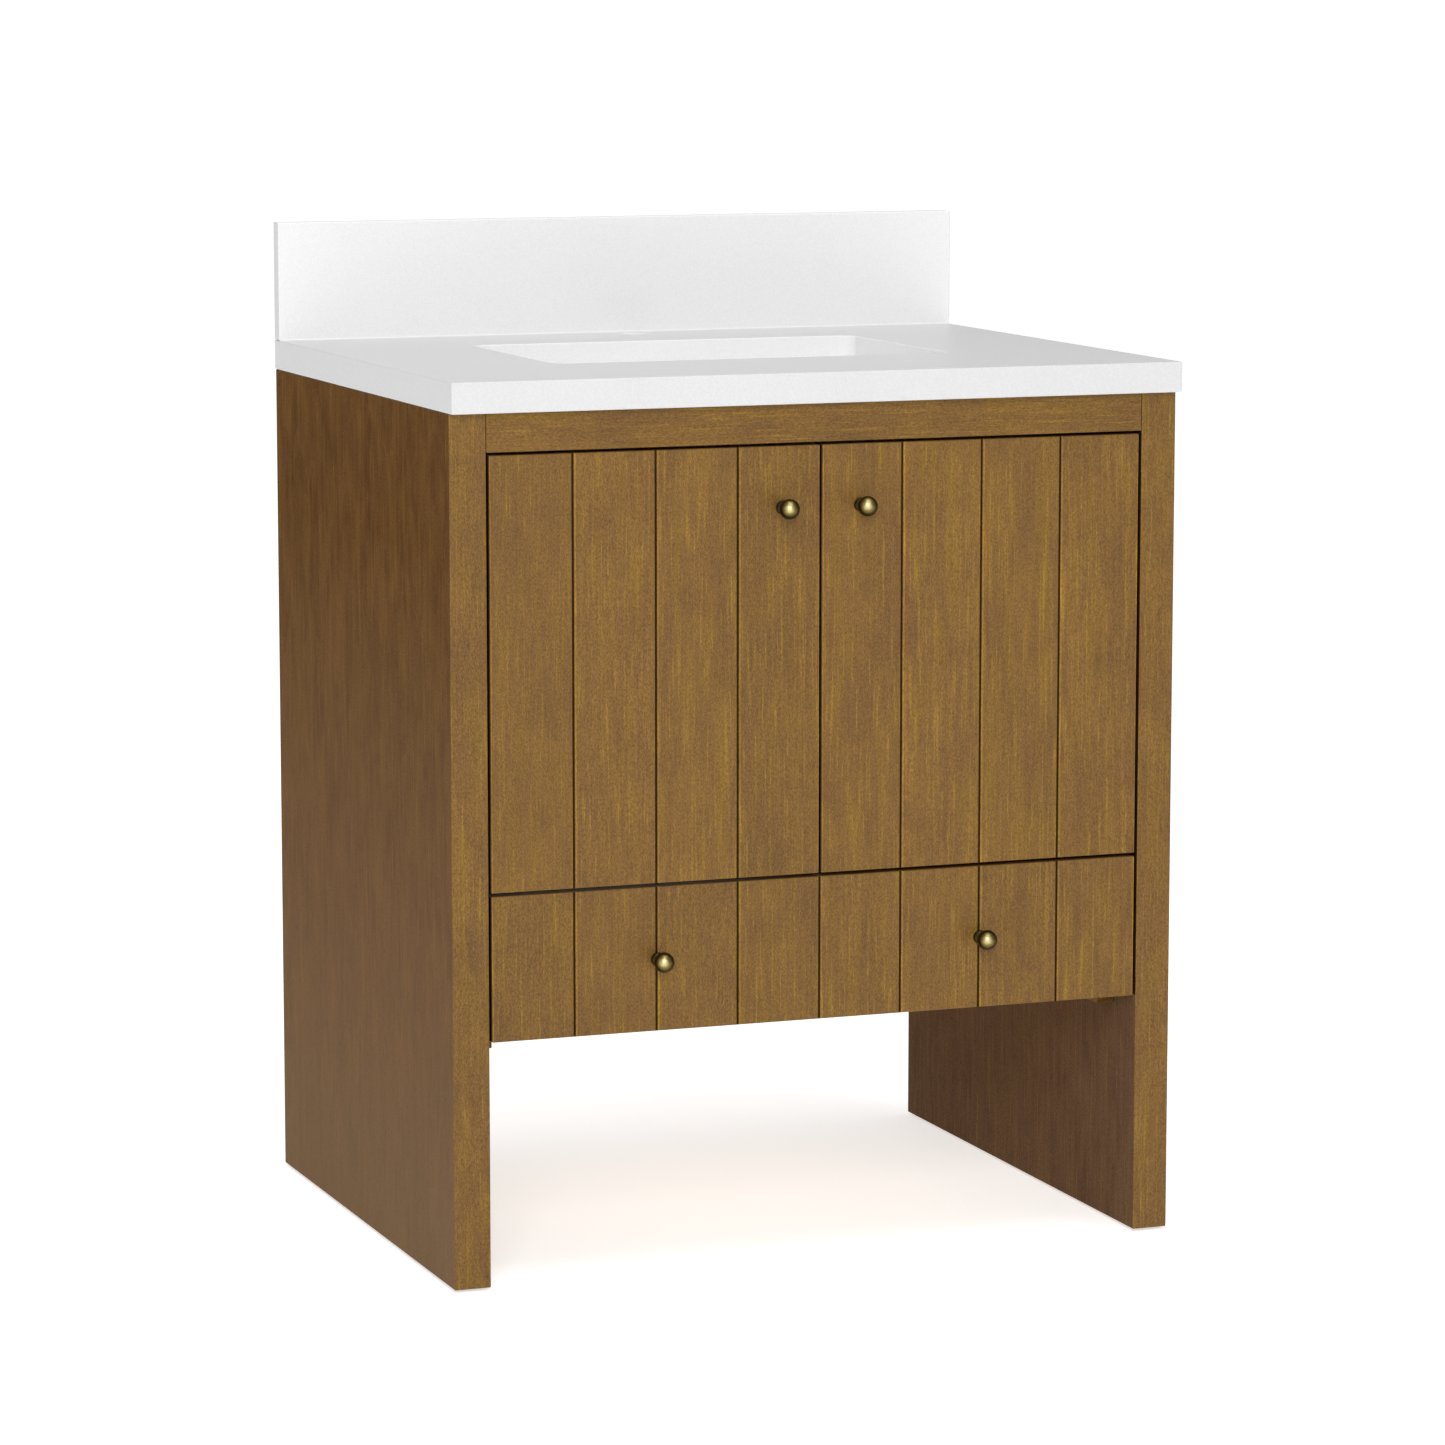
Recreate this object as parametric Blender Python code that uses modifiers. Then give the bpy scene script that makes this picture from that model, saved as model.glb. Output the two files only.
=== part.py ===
"""Free-standing bathroom vanity cabinet: plank doors over a plank drawer, stone top, undermount basin.

X runs left to right seen from the front, Y runs from the front to the wall, Z is up, in metres.
"""
from math import cos, pi, radians, sin

import bmesh
import bpy
from mathutils import Matrix, Vector

# Carcass
CABINET_WIDTH = 0.760
CABINET_DEPTH = 0.597
CABINET_HEIGHT = 0.855
SIDE_THICKNESS = 0.037
TOP_RAIL_HEIGHT = 0.038
FLOOR_CLEARANCE = 0.245
FLOOR_THICKNESS = 0.018
FLOOR_BELOW_DOOR = 0.0012
REAR_RAIL_THICKNESS = 0.018
TOP_REAR_RAIL_HEIGHT = 0.080
LOWER_REAR_RAIL_HEIGHT = 0.090
BACK_PANEL_THICKNESS = 0.006
PIPE_OPENING_MARGIN = 0.190
PIPE_OPENING_SILL = 0.050
PIPE_OPENING_HEAD = 0.100
WOOD_EASE = 0.0008
TOUCH = 0.0003

# Glides under the legs
GLIDE_RADIUS = 0.010
GLIDE_HEIGHT = 0.0025
GLIDE_INSET = 0.025
GLIDE_NAIL_RADIUS = 0.0012
GLIDE_NAIL_LENGTH = 0.016

# Doors and drawer front
FRONT_THICKNESS = 0.020
REVEAL = 0.003
DOOR_DRAWER_GAP = 0.0034
DRAWER_FRONT_HEIGHT = 0.1428
PLANKS_PER_DOOR = 4
GROOVE_DEPTH = 0.0017
BUMPER_RADIUS = 0.004
BUMPER_TOP_RADIUS = 0.003
BUMPER_THICKNESS = 0.0015
BUMPER_INSET = 0.005
STOP_BLOCK_WIDTH = 0.080
STOP_BLOCK_THICKNESS = 0.018
STOP_BLOCK_DROP = 0.016

# Knobs
KNOB_BALL_RADIUS = 0.010
KNOB_REACH = 0.030
KNOB_BALL_TURN = radians(153)
KNOB_NECK_BELOW_BALL_CENTRE = 0.0102
KNOB_NECK_RADIUS = 0.0045
KNOB_BASE_RADIUS = 0.0068
KNOB_BASE_HEIGHT = 0.0055
KNOB_BASE_EDGE = 0.0025
KNOB_BORE_DEPTH = 0.012
DOOR_KNOB_FROM_MIDDLE = 0.0408
DOOR_KNOB_FROM_TOP = 0.0598
DRAWER_KNOB_PLANKS_FROM_MIDDLE = 2
SCREW_RADIUS = 0.0020
SCREW_HEAD_RADIUS = 0.0042
SCREW_HEAD_FLAT_RADIUS = 0.0029
SCREW_HEAD_HEIGHT = 0.0024
SCREW_BITE = 0.010
SCREW_CLEARANCE = 0.0004

# Concealed hinges
HINGE_AXIS_INSET = 0.0135
HINGE_AXIS_DEPTH = 0.009
HINGE_FROM_DOOR_END = 0.075
CUP_RADIUS = 0.0175
CUP_DEPTH = 0.0115
CUP_WALL = 0.001
CUP_EDGE_DISTANCE = 0.005
CUP_LIP = 0.002
CUP_EAR_HEIGHT = 0.052
CUP_EAR_WIDTH = 0.012
CUP_EAR_OFFSET = 0.0055
HINGE_PLATE_SETBACK = 0.028
HINGE_PLATE_THICKNESS = 0.006
HINGE_PLATE_LENGTH = 0.034
HINGE_PLATE_BODY_HEIGHT = 0.014
HINGE_PLATE_WING_LENGTH = 0.012
HINGE_PLATE_WING_HEIGHT = 0.048
HINGE_PLATE_WING_THICKNESS = 0.002
HINGE_ARM_HEIGHT = 0.013
HINGE_ARM_THICKNESS = 0.002
HINGE_ARM_END = 0.060
HINGE_ARM_FIRST_BEND = 0.026
# The arm's later bends: how far in from the door's outer edge, then how far behind the door's back face
HINGE_ARM_BENDS = (
    (0.0120, 0.0155),
    (0.0240, 0.0100),
    (0.0315, 0.0080),
    (0.0310, 0.0010),
    (0.0296, -0.0040),
    (0.0279, -0.0075),
)

# Drawer box and its runners
CLEAT_THICKNESS = 0.019
CLEAT_SETBACK = 0.052
CLEAT_DROP = 0.0164
CLEAT_HEIGHT = 0.080
RUNNER_THICKNESS = 0.0127
RUNNER_HEIGHT = 0.0457
RUNNER_SHEET = 0.0012
RUNNER_PLAY = 0.0012
RUNNER_SETBACK = 0.002
RUNNER_BACK_CLEARANCE = 0.018
BOX_WALL = 0.013
BOX_HEIGHT = 0.100
BOX_LIFT = 0.008
BOX_BACK_CLEARANCE = 0.032
BOX_BOTTOM_THICKNESS = 0.006
BOX_BOTTOM_LIFT = 0.010
BOX_BOTTOM_TONGUE = 0.006

# Countertop, backsplash and basin
COUNTER_THICKNESS = 0.0305
COUNTER_OVERHANG_FRONT = 0.013
COUNTER_OVERHANG_SIDE = 0.001
COUNTER_EASE = 0.0015
BACKSPLASH_HEIGHT = 0.123
BACKSPLASH_THICKNESS = 0.017
BASIN_FRONT_DECK = 0.1905
BASIN_BACK_DECK = 0.1465
BASIN_SIDE_DECK = 0.168
BASIN_CORNER_RADIUS = 0.016
BASIN_DEPTH = 0.135
BASIN_WALL = 0.008
BASIN_FLANGE = 0.020
BASIN_TAPER = 0.016
BASIN_FLOOR_RADIUS = 0.030
BASIN_DISH_RADIUS = 0.046
BASIN_DISH_DEPTH = 0.005
BASIN_REVEAL = 0.001
DRAIN_RADIUS = 0.0225
DRAIN_SEAT_RADIUS = 0.034
FAUCET_HOLE_RADIUS = 0.0175
FAUCET_HOLE_FROM_BACK = 0.054
CLIP_WIDTH = 0.020
CLIP_SHEET = 0.0015
CLIP_REACH = 0.014
CLIP_CLEARANCE = 0.002
CLIP_SPACING = 0.150

# Places worked out from the sizes
BACK_Y = (CABINET_DEPTH + max(KNOB_REACH, COUNTER_OVERHANG_FRONT)) / 2
FRONT_Y = BACK_Y - CABINET_DEPTH
FRONT_BACK_Y = FRONT_Y + FRONT_THICKNESS
STOP_Y = FRONT_BACK_Y + BUMPER_THICKNESS + 2 * TOUCH
REAR_RAIL_BACK_Y = BACK_Y - BACK_PANEL_THICKNESS - TOUCH
REAR_RAIL_Y = REAR_RAIL_BACK_Y - REAR_RAIL_THICKNESS
HALF_WIDTH = CABINET_WIDTH / 2
INNER_X = HALF_WIDTH - SIDE_THICKNESS
FRONT_HALF_WIDTH = INNER_X - REVEAL
DOOR_WIDTH = FRONT_HALF_WIDTH - REVEAL / 2
PLANK_WIDTH = DOOR_WIDTH / PLANKS_PER_DOOR
DRAWER_TOP = FLOOR_CLEARANCE + DRAWER_FRONT_HEIGHT
DOOR_LOW = DRAWER_TOP + DOOR_DRAWER_GAP
DOOR_TOP = CABINET_HEIGHT - TOP_RAIL_HEIGHT - REVEAL
FLOOR_TOP = DOOR_LOW - FLOOR_BELOW_DOOR
CLEAT_LOW = FLOOR_CLEARANCE - CLEAT_DROP
COUNTER_LOW = CABINET_HEIGHT + TOUCH
COUNTER_TOP = COUNTER_LOW + COUNTER_THICKNESS
COUNTER_HALF_WIDTH = HALF_WIDTH + COUNTER_OVERHANG_SIDE
COUNTER_FRONT_Y = FRONT_Y - COUNTER_OVERHANG_FRONT
BASIN_WIDTH = 2 * (COUNTER_HALF_WIDTH - BASIN_SIDE_DECK)
BASIN_FRONT_Y = COUNTER_FRONT_Y + BASIN_FRONT_DECK
BASIN_BACK_Y = BACK_Y - BASIN_BACK_DECK
BASIN_LENGTH = BASIN_BACK_Y - BASIN_FRONT_Y
BASIN_MIDDLE_Y = (BASIN_FRONT_Y + BASIN_BACK_Y) / 2
CLEAT_FRONT_Y = FRONT_Y + CLEAT_SETBACK
CLEAT_INNER_X = INNER_X - TOUCH - CLEAT_THICKNESS
RUNNER_FRONT_Y = CLEAT_FRONT_Y + RUNNER_SETBACK
RUNNER_BACK_Y = REAR_RAIL_Y - RUNNER_BACK_CLEARANCE
RUNNER_Z = CLEAT_LOW + CLEAT_HEIGHT / 2
BOX_HALF_WIDTH = CLEAT_INNER_X - RUNNER_THICKNESS
BOX_INNER_X = BOX_HALF_WIDTH - BOX_WALL
BOX_FRONT_Y = FRONT_BACK_Y + TOUCH
BOX_BACK_Y = REAR_RAIL_Y - BOX_BACK_CLEARANCE
BOX_LOW = FLOOR_CLEARANCE + BOX_LIFT
BOX_TOP = BOX_LOW + BOX_HEIGHT
CUP_INSET = CUP_EDGE_DISTANCE + CUP_RADIUS
SIDES = (("left", -1), ("right", 1))

# Finishes: colour, roughness, metallic
STAINED_WOOD = ((0.26, 0.14, 0.05, 1), 0.45, 0)
PLAIN_PLY = ((0.60, 0.42, 0.24, 1), 0.60, 0)
WHITE_STONE = ((0.82, 0.82, 0.82, 1), 0.30, 0)
GLAZED_CERAMIC = ((0.88, 0.88, 0.88, 1), 0.10, 0)
AGED_BRASS = ((0.42, 0.30, 0.12, 1), 0.30, 1)
ZINC_STEEL = ((0.62, 0.62, 0.64, 1), 0.30, 1)
NICKEL_STEEL = ((0.55, 0.53, 0.50, 1), 0.25, 1)
CLEAR_PAD = ((0.75, 0.75, 0.73, 1), 0.50, 0)
DARK_NYLON = ((0.10, 0.09, 0.08, 1), 0.60, 0)

for old in list(bpy.data.objects):
    bpy.data.objects.remove(old)

PARTS = bpy.data.collections.new("bathroom_vanity_cabinet")
CUTTERS = bpy.data.collections.new("cutters")
for group in (PARTS, CUTTERS):
    bpy.context.scene.collection.children.link(group)
CUTTERS.hide_render = True


def paint(obj, finish):
    colour, roughness, metallic = finish
    material = bpy.data.materials.new(obj.name)
    material.use_nodes = True
    shader = material.node_tree.nodes["Principled BSDF"]
    shader.inputs["Base Color"].default_value = colour
    shader.inputs["Roughness"].default_value = roughness
    shader.inputs["Metallic"].default_value = metallic
    obj.data.materials.append(material)


def add_object(name, shape, finish=None, parent=None, place=(0, 0, 0)):
    """Make an object from a bmesh. Without a finish it is a cutter."""
    mesh = bpy.data.meshes.new(name)
    shape.to_mesh(mesh)
    shape.free()
    obj = bpy.data.objects.new(name, mesh)
    obj.location = place
    if finish is None:
        CUTTERS.objects.link(obj)
        obj.hide_render = True
        obj.display_type = "WIRE"
        return obj
    PARTS.objects.link(obj)
    paint(obj, finish)
    if parent is not None:
        obj.parent = parent
        obj.location = Vector(place) - parent.location
    return obj


def block_shape(size):
    shape = bmesh.new()
    bmesh.ops.create_cube(shape, size=1)
    bmesh.ops.scale(shape, vec=size, verts=shape.verts)
    return shape


def block(name, x, y, z, finish=None, parent=None):
    """A board or plate between two limits on each axis."""
    spans = [sorted(limits) for limits in (x, y, z)]
    size = [high - low for low, high in spans]
    middle = [(high + low) / 2 for low, high in spans]
    return add_object(name, block_shape(size), finish, parent, middle)


def rod(name, radius, length, place, axis, sides=32):
    """A round cutter whose middle is at place."""
    shape = bmesh.new()
    turn = {"X": Matrix.Rotation(pi / 2, 3, "Y"), "Y": Matrix.Rotation(pi / 2, 3, "X"), "Z": Matrix.Identity(3)}
    bmesh.ops.create_cone(shape, cap_ends=True, segments=sides, radius1=radius, radius2=radius, depth=length)
    bmesh.ops.rotate(shape, matrix=turn[axis], verts=shape.verts)
    return add_object(name, shape, place=place)


def ease(obj, width, segments=1):
    """Take the sharp edges off."""
    bevel = obj.modifiers.new("eased_edges", "BEVEL")
    bevel.width = width
    bevel.segments = segments
    bevel.limit_method = "ANGLE"
    bevel.angle_limit = radians(60)


def combine(obj, tool, operation):
    boolean = obj.modifiers.new(tool.name, "BOOLEAN")
    boolean.operation = operation
    boolean.solver = "EXACT"
    boolean.object = tool


def cut(obj, tool):
    combine(obj, tool, "DIFFERENCE")


def turned(name, profile, finish, place, rotation=(0, 0, 0), parent=None, steps=32):
    """A lathe-turned piece. The profile holds (radius, height) points from its top down its outer side."""
    shape = bmesh.new()
    verts = [shape.verts.new((radius, 0, height)) for radius, height in profile]
    for upper, lower in zip(verts, verts[1:]):
        shape.edges.new((upper, lower))
    obj = add_object(name, shape, finish, parent, place)
    obj.rotation_euler = rotation
    lathe = obj.modifiers.new("lathe", "SCREW")
    lathe.axis = "Z"
    lathe.steps = steps
    lathe.render_steps = steps
    lathe.use_merge_vertices = True
    lathe.merge_threshold = 0.00005
    lathe.use_smooth_shade = True
    return obj


def folded_sheet(name, route, sweep, thickness, finish, parent=None):
    """A strip of sheet metal bent along a route of points, as wide as the sweep vector."""
    shape = bmesh.new()
    near = [shape.verts.new(point) for point in route]
    far = [shape.verts.new(Vector(point) + Vector(sweep)) for point in route]
    for i in range(len(route) - 1):
        shape.faces.new((near[i], near[i + 1], far[i + 1], far[i]))
    obj = add_object(name, shape, finish)
    if parent is not None:
        obj.parent = parent
        obj.location = -parent.location
    sheet = obj.modifiers.new("sheet", "SOLIDIFY")
    sheet.thickness = thickness
    sheet.offset = 0
    sheet.use_even_offset = True
    return obj


def axis_empty(name, place):
    empty = bpy.data.objects.new(name, None)
    empty.location = place
    PARTS.objects.link(empty)
    return empty


def side_panel(side, sign):
    panel = block(side + "_side_panel", (sign * INNER_X, sign * HALF_WIDTH), (FRONT_Y, BACK_Y),
                  (GLIDE_HEIGHT + TOUCH, CABINET_HEIGHT), STAINED_WOOD)
    ease(panel, WOOD_EASE)
    middle_x = sign * (HALF_WIDTH - SIDE_THICKNESS / 2)
    for end, y in (("front", FRONT_Y + GLIDE_INSET), ("back", BACK_Y - GLIDE_INSET)):
        name = end + "_" + side + "_glide"
        pilot = rod(name + "_pilot", GLIDE_NAIL_RADIUS + TOUCH, 2 * (GLIDE_NAIL_LENGTH + TOUCH),
                    (middle_x, y, GLIDE_HEIGHT + TOUCH), "Z", 12)
        cut(panel, pilot)
        glide(name, middle_x, y)


def glide(name, x, y):
    profile = (
        (0, GLIDE_HEIGHT + GLIDE_NAIL_LENGTH),
        (GLIDE_NAIL_RADIUS, GLIDE_HEIGHT + GLIDE_NAIL_LENGTH - 2 * GLIDE_NAIL_RADIUS),
        (GLIDE_NAIL_RADIUS, GLIDE_HEIGHT),
        (GLIDE_RADIUS, GLIDE_HEIGHT),
        (GLIDE_RADIUS, WOOD_EASE),
        (GLIDE_RADIUS - WOOD_EASE, 0),
        (0, 0),
    )
    turned(name, profile, DARK_NYLON, (x, y, 0), steps=24)


def rails_and_panels():
    between = (TOUCH - INNER_X, INNER_X - TOUCH)
    front_rail = block("top_front_rail", between, (FRONT_Y, STOP_Y - TOUCH),
                       (CABINET_HEIGHT - TOP_RAIL_HEIGHT, CABINET_HEIGHT), STAINED_WOOD)
    ease(front_rail, WOOD_EASE)
    rear_rail_low = CABINET_HEIGHT - TOP_REAR_RAIL_HEIGHT
    rear_rails = (("top_rear_rail", rear_rail_low, CABINET_HEIGHT),
                  ("lower_rear_rail", CLEAT_LOW, CLEAT_LOW + LOWER_REAR_RAIL_HEIGHT))
    for name, low, high in rear_rails:
        ease(block(name, between, (REAR_RAIL_Y, REAR_RAIL_BACK_Y), (low, high), STAINED_WOOD), WOOD_EASE)
    floor = block("cabinet_floor", between, (STOP_Y, REAR_RAIL_BACK_Y), (FLOOR_TOP - FLOOR_THICKNESS, FLOOR_TOP),
                  STAINED_WOOD)
    ease(floor, WOOD_EASE)
    back = block("back_panel", between, (BACK_Y - BACK_PANEL_THICKNESS, BACK_Y), (CLEAT_LOW, CABINET_HEIGHT),
                 PLAIN_PLY)
    half = INNER_X - PIPE_OPENING_MARGIN
    opening = block("pipe_opening", (-half, half), (BACK_Y - 2 * BACK_PANEL_THICKNESS, BACK_Y + BACK_PANEL_THICKNESS),
                    (FLOOR_TOP + PIPE_OPENING_SILL, rear_rail_low - PIPE_OPENING_HEAD))
    cut(back, opening)


def stop_block():
    half = STOP_BLOCK_WIDTH / 2
    body = block("door_stop_block", (-half, half), (STOP_Y, STOP_Y + STOP_BLOCK_THICKNESS),
                 (DOOR_TOP - STOP_BLOCK_DROP, CABINET_HEIGHT - TOUCH), STAINED_WOOD)
    ease(body, WOOD_EASE)


def groove_cutter(name, places, low, high):
    """Square bars turned on edge along the front face, one for each V groove."""
    shape = bmesh.new()
    side = GROOVE_DEPTH * 2 ** 0.5
    length = high - low + 2 * FRONT_THICKNESS
    for x in places:
        bar = bmesh.ops.create_cube(shape, size=1)["verts"]
        bmesh.ops.scale(shape, vec=(side, side, length), verts=bar)
        bmesh.ops.rotate(shape, matrix=Matrix.Rotation(pi / 4, 3, "Z"), verts=bar)
        bmesh.ops.translate(shape, vec=(x, FRONT_Y, (high + low) / 2), verts=bar)
    return add_object(name, shape)


def knob_and_screw(name, x, z, grip, parent, fixed_parts):
    """A turned knob, with a machine screw from behind through everything it clamps."""
    towards_front = (pi / 2, 0, 0)
    ball_height = KNOB_REACH - KNOB_BALL_RADIUS
    ball = []
    for i in range(11):
        turn = KNOB_BALL_TURN * i / 10
        ball.append((KNOB_BALL_RADIUS * sin(turn), ball_height + KNOB_BALL_RADIUS * cos(turn)))
    bore = SCREW_RADIUS + TOUCH
    profile = ball + [
        (KNOB_NECK_RADIUS, ball_height - KNOB_NECK_BELOW_BALL_CENTRE),
        (KNOB_NECK_RADIUS, KNOB_BASE_HEIGHT),
        (KNOB_BASE_RADIUS, KNOB_BASE_EDGE),
        (KNOB_BASE_RADIUS, TOUCH),
        (bore, TOUCH),
        (bore, KNOB_BORE_DEPTH),
        (0, KNOB_BORE_DEPTH + bore),
    ]
    turned(name, profile, AGED_BRASS, (x, FRONT_Y, z), towards_front, parent)
    tip = grip + SCREW_BITE
    screw = (
        (0, tip),
        (SCREW_RADIUS, tip - SCREW_RADIUS / 2),
        (SCREW_RADIUS, -TOUCH),
        (SCREW_HEAD_RADIUS, -TOUCH),
        (SCREW_HEAD_RADIUS, -TOUCH - SCREW_HEAD_HEIGHT / 2),
        (SCREW_HEAD_FLAT_RADIUS, -TOUCH - SCREW_HEAD_HEIGHT),
        (0, -TOUCH - SCREW_HEAD_HEIGHT),
    )
    turned(name + "_screw", screw, ZINC_STEEL, (x, FRONT_Y + grip, z), towards_front, parent, 20)
    hole = rod(name + "_hole", SCREW_RADIUS + SCREW_CLEARANCE, 3 * grip, (x, FRONT_Y + grip / 2, z), "Y", 20)
    for part in fixed_parts:
        cut(part, hole)


def hinge_cup(name, x, z, inward, door, axis):
    """The pressed cup let into the back of the door, with ears for its two screws."""
    flange = CUP_RADIUS + CUP_LIP
    outer = -TOUCH - CUP_WALL
    inside = CUP_RADIUS - CUP_WALL
    profile = (
        (0, CUP_DEPTH),
        (CUP_RADIUS, CUP_DEPTH),
        (CUP_RADIUS, -TOUCH),
        (flange, -TOUCH),
        (flange, outer),
        (inside, outer),
        (inside, CUP_DEPTH - CUP_WALL),
        (0, CUP_DEPTH - CUP_WALL),
    )
    cup = turned(name, profile, NICKEL_STEEL, (x, FRONT_BACK_Y, z), (pi / 2, 0, 0), axis, 36)
    ear_x = x + inward * CUP_EAR_OFFSET
    ears = block(name + "_ears", (ear_x - CUP_EAR_WIDTH / 2, ear_x + CUP_EAR_WIDTH / 2),
                 (FRONT_BACK_Y + TOUCH, FRONT_BACK_Y + TOUCH + CUP_WALL),
                 (z - CUP_EAR_HEIGHT / 2, z + CUP_EAR_HEIGHT / 2))
    combine(cup, ears, "UNION")
    hollow = rod(name + "_hollow", inside, 2 * (CUP_DEPTH - CUP_WALL), (x, FRONT_BACK_Y, z), "Y", 36)
    cut(cup, hollow)
    seat = rod(name + "_seat", CUP_RADIUS + TOUCH, 2 * (CUP_DEPTH + TOUCH), (x, FRONT_BACK_Y, z), "Y", 36)
    cut(door, seat)


def hinge_plate_and_arm(name, edge_x, z, inward):
    """The mounting plate on the side panel, and the cranked arm that reaches into the cup."""
    panel_x = edge_x - inward * REVEAL
    plate_x = panel_x + inward * TOUCH
    plate_front_y = FRONT_BACK_Y + HINGE_PLATE_SETBACK
    half_body = HINGE_PLATE_BODY_HEIGHT / 2
    half_wing = HINGE_PLATE_WING_HEIGHT / 2
    plate = block(name + "_plate", (plate_x, plate_x + inward * HINGE_PLATE_THICKNESS),
                  (plate_front_y, plate_front_y + HINGE_PLATE_LENGTH), (z - half_body, z + half_body), NICKEL_STEEL)
    wing_y = plate_front_y + (HINGE_PLATE_LENGTH - HINGE_PLATE_WING_LENGTH) / 2
    wings = block(name + "_wings", (plate_x, plate_x + inward * HINGE_PLATE_WING_THICKNESS),
                  (wing_y, wing_y + HINGE_PLATE_WING_LENGTH), (z - half_wing, z + half_wing))
    combine(plate, wings, "UNION")
    run = TOUCH + HINGE_PLATE_THICKNESS + TOUCH + HINGE_ARM_THICKNESS / 2 - REVEAL
    crank = ((run, HINGE_ARM_END), (run, HINGE_ARM_FIRST_BEND), *HINGE_ARM_BENDS)
    route = [(edge_x + inward * u, FRONT_BACK_Y + v, z - HINGE_ARM_HEIGHT / 2) for u, v in crank]
    folded_sheet(name + "_arm", route, (0, 0, HINGE_ARM_HEIGHT), HINGE_ARM_THICKNESS, NICKEL_STEEL)


def door(side, sign):
    inward = -sign
    edge_x = sign * FRONT_HALF_WIDTH
    axis = axis_empty(side + "_door_axis", (edge_x + inward * HINGE_AXIS_INSET, FRONT_Y + HINGE_AXIS_DEPTH, DOOR_LOW))
    middle_x = sign * REVEAL / 2
    leaf = block(side + "_door", (middle_x, edge_x), (FRONT_Y, FRONT_BACK_Y), (DOOR_LOW, DOOR_TOP), STAINED_WOOD, axis)
    ease(leaf, WOOD_EASE)
    grooves = [middle_x + sign * PLANK_WIDTH * i for i in range(1, PLANKS_PER_DOOR)]
    cut(leaf, groove_cutter(side + "_door_grooves", grooves, DOOR_LOW, DOOR_TOP))
    knob_and_screw(side + "_door_knob", sign * DOOR_KNOB_FROM_MIDDLE, DOOR_TOP - DOOR_KNOB_FROM_TOP,
                   FRONT_THICKNESS, axis, [leaf])
    for end, z in (("upper", DOOR_TOP - HINGE_FROM_DOOR_END), ("lower", DOOR_LOW + HINGE_FROM_DOOR_END)):
        name = side + "_" + end + "_hinge"
        hinge_cup(name + "_cup", edge_x + inward * CUP_INSET, z, inward, leaf, axis)
        hinge_plate_and_arm(name, edge_x, z, inward)
    bumper = ((0, BUMPER_THICKNESS + TOUCH), (BUMPER_TOP_RADIUS, BUMPER_THICKNESS + TOUCH),
              (BUMPER_RADIUS, BUMPER_THICKNESS / 2), (BUMPER_RADIUS, TOUCH), (0, TOUCH))
    bumper_x = middle_x + sign * (BUMPER_INSET + BUMPER_RADIUS)
    turned(side + "_door_bumper", bumper, CLEAR_PAD, (bumper_x, FRONT_BACK_Y, DOOR_TOP - BUMPER_INSET),
           (-pi / 2, 0, 0), axis, 20)


def drawer_front_and_box():
    axis = axis_empty("drawer_axis", (0, FRONT_Y, FLOOR_CLEARANCE))
    front = block("drawer_front", (-FRONT_HALF_WIDTH, FRONT_HALF_WIDTH), (FRONT_Y, FRONT_BACK_Y),
                  (FLOOR_CLEARANCE, DRAWER_TOP), STAINED_WOOD, axis)
    ease(front, WOOD_EASE)
    grooves = [0]
    for i in range(1, PLANKS_PER_DOOR):
        grooves += [-REVEAL / 2 - PLANK_WIDTH * i, REVEAL / 2 + PLANK_WIDTH * i]
    cut(front, groove_cutter("drawer_front_grooves", grooves, FLOOR_CLEARANCE, DRAWER_TOP))
    between = (TOUCH - BOX_INNER_X, BOX_INNER_X - TOUCH)
    height = (BOX_LOW, BOX_TOP)
    walls = [
        block("drawer_box_front", between, (BOX_FRONT_Y, BOX_FRONT_Y + BOX_WALL), height, PLAIN_PLY, axis),
        block("drawer_box_back", between, (BOX_BACK_Y - BOX_WALL, BOX_BACK_Y), height, PLAIN_PLY, axis),
    ]
    for side, sign in SIDES:
        walls.append(block("drawer_box_" + side + "_side", (sign * BOX_INNER_X, sign * BOX_HALF_WIDTH),
                           (BOX_FRONT_Y, BOX_BACK_Y), height, PLAIN_PLY, axis))
    reach_x = BOX_INNER_X + BOX_BOTTOM_TONGUE
    reach_y = (BOX_FRONT_Y + BOX_WALL - BOX_BOTTOM_TONGUE, BOX_BACK_Y - BOX_WALL + BOX_BOTTOM_TONGUE)
    bottom_z = BOX_LOW + BOX_BOTTOM_LIFT
    block("drawer_box_bottom", (-reach_x, reach_x), reach_y, (bottom_z, bottom_z + BOX_BOTTOM_THICKNESS),
          PLAIN_PLY, axis)
    groove = block("drawer_bottom_groove", (-reach_x - TOUCH, reach_x + TOUCH), (reach_y[0] - TOUCH, reach_y[1] + TOUCH),
                   (bottom_z - TOUCH, bottom_z + BOX_BOTTOM_THICKNESS + TOUCH))
    for wall in walls:
        ease(wall, WOOD_EASE)
        cut(wall, groove)
    knob_x = REVEAL / 2 + PLANK_WIDTH * DRAWER_KNOB_PLANKS_FROM_MIDDLE
    for side, sign in SIDES:
        knob_and_screw("drawer_" + side + "_knob", sign * knob_x, (FLOOR_CLEARANCE + DRAWER_TOP) / 2,
                       FRONT_THICKNESS + TOUCH + BOX_WALL, axis, [front, walls[0]])
    return axis


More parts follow.
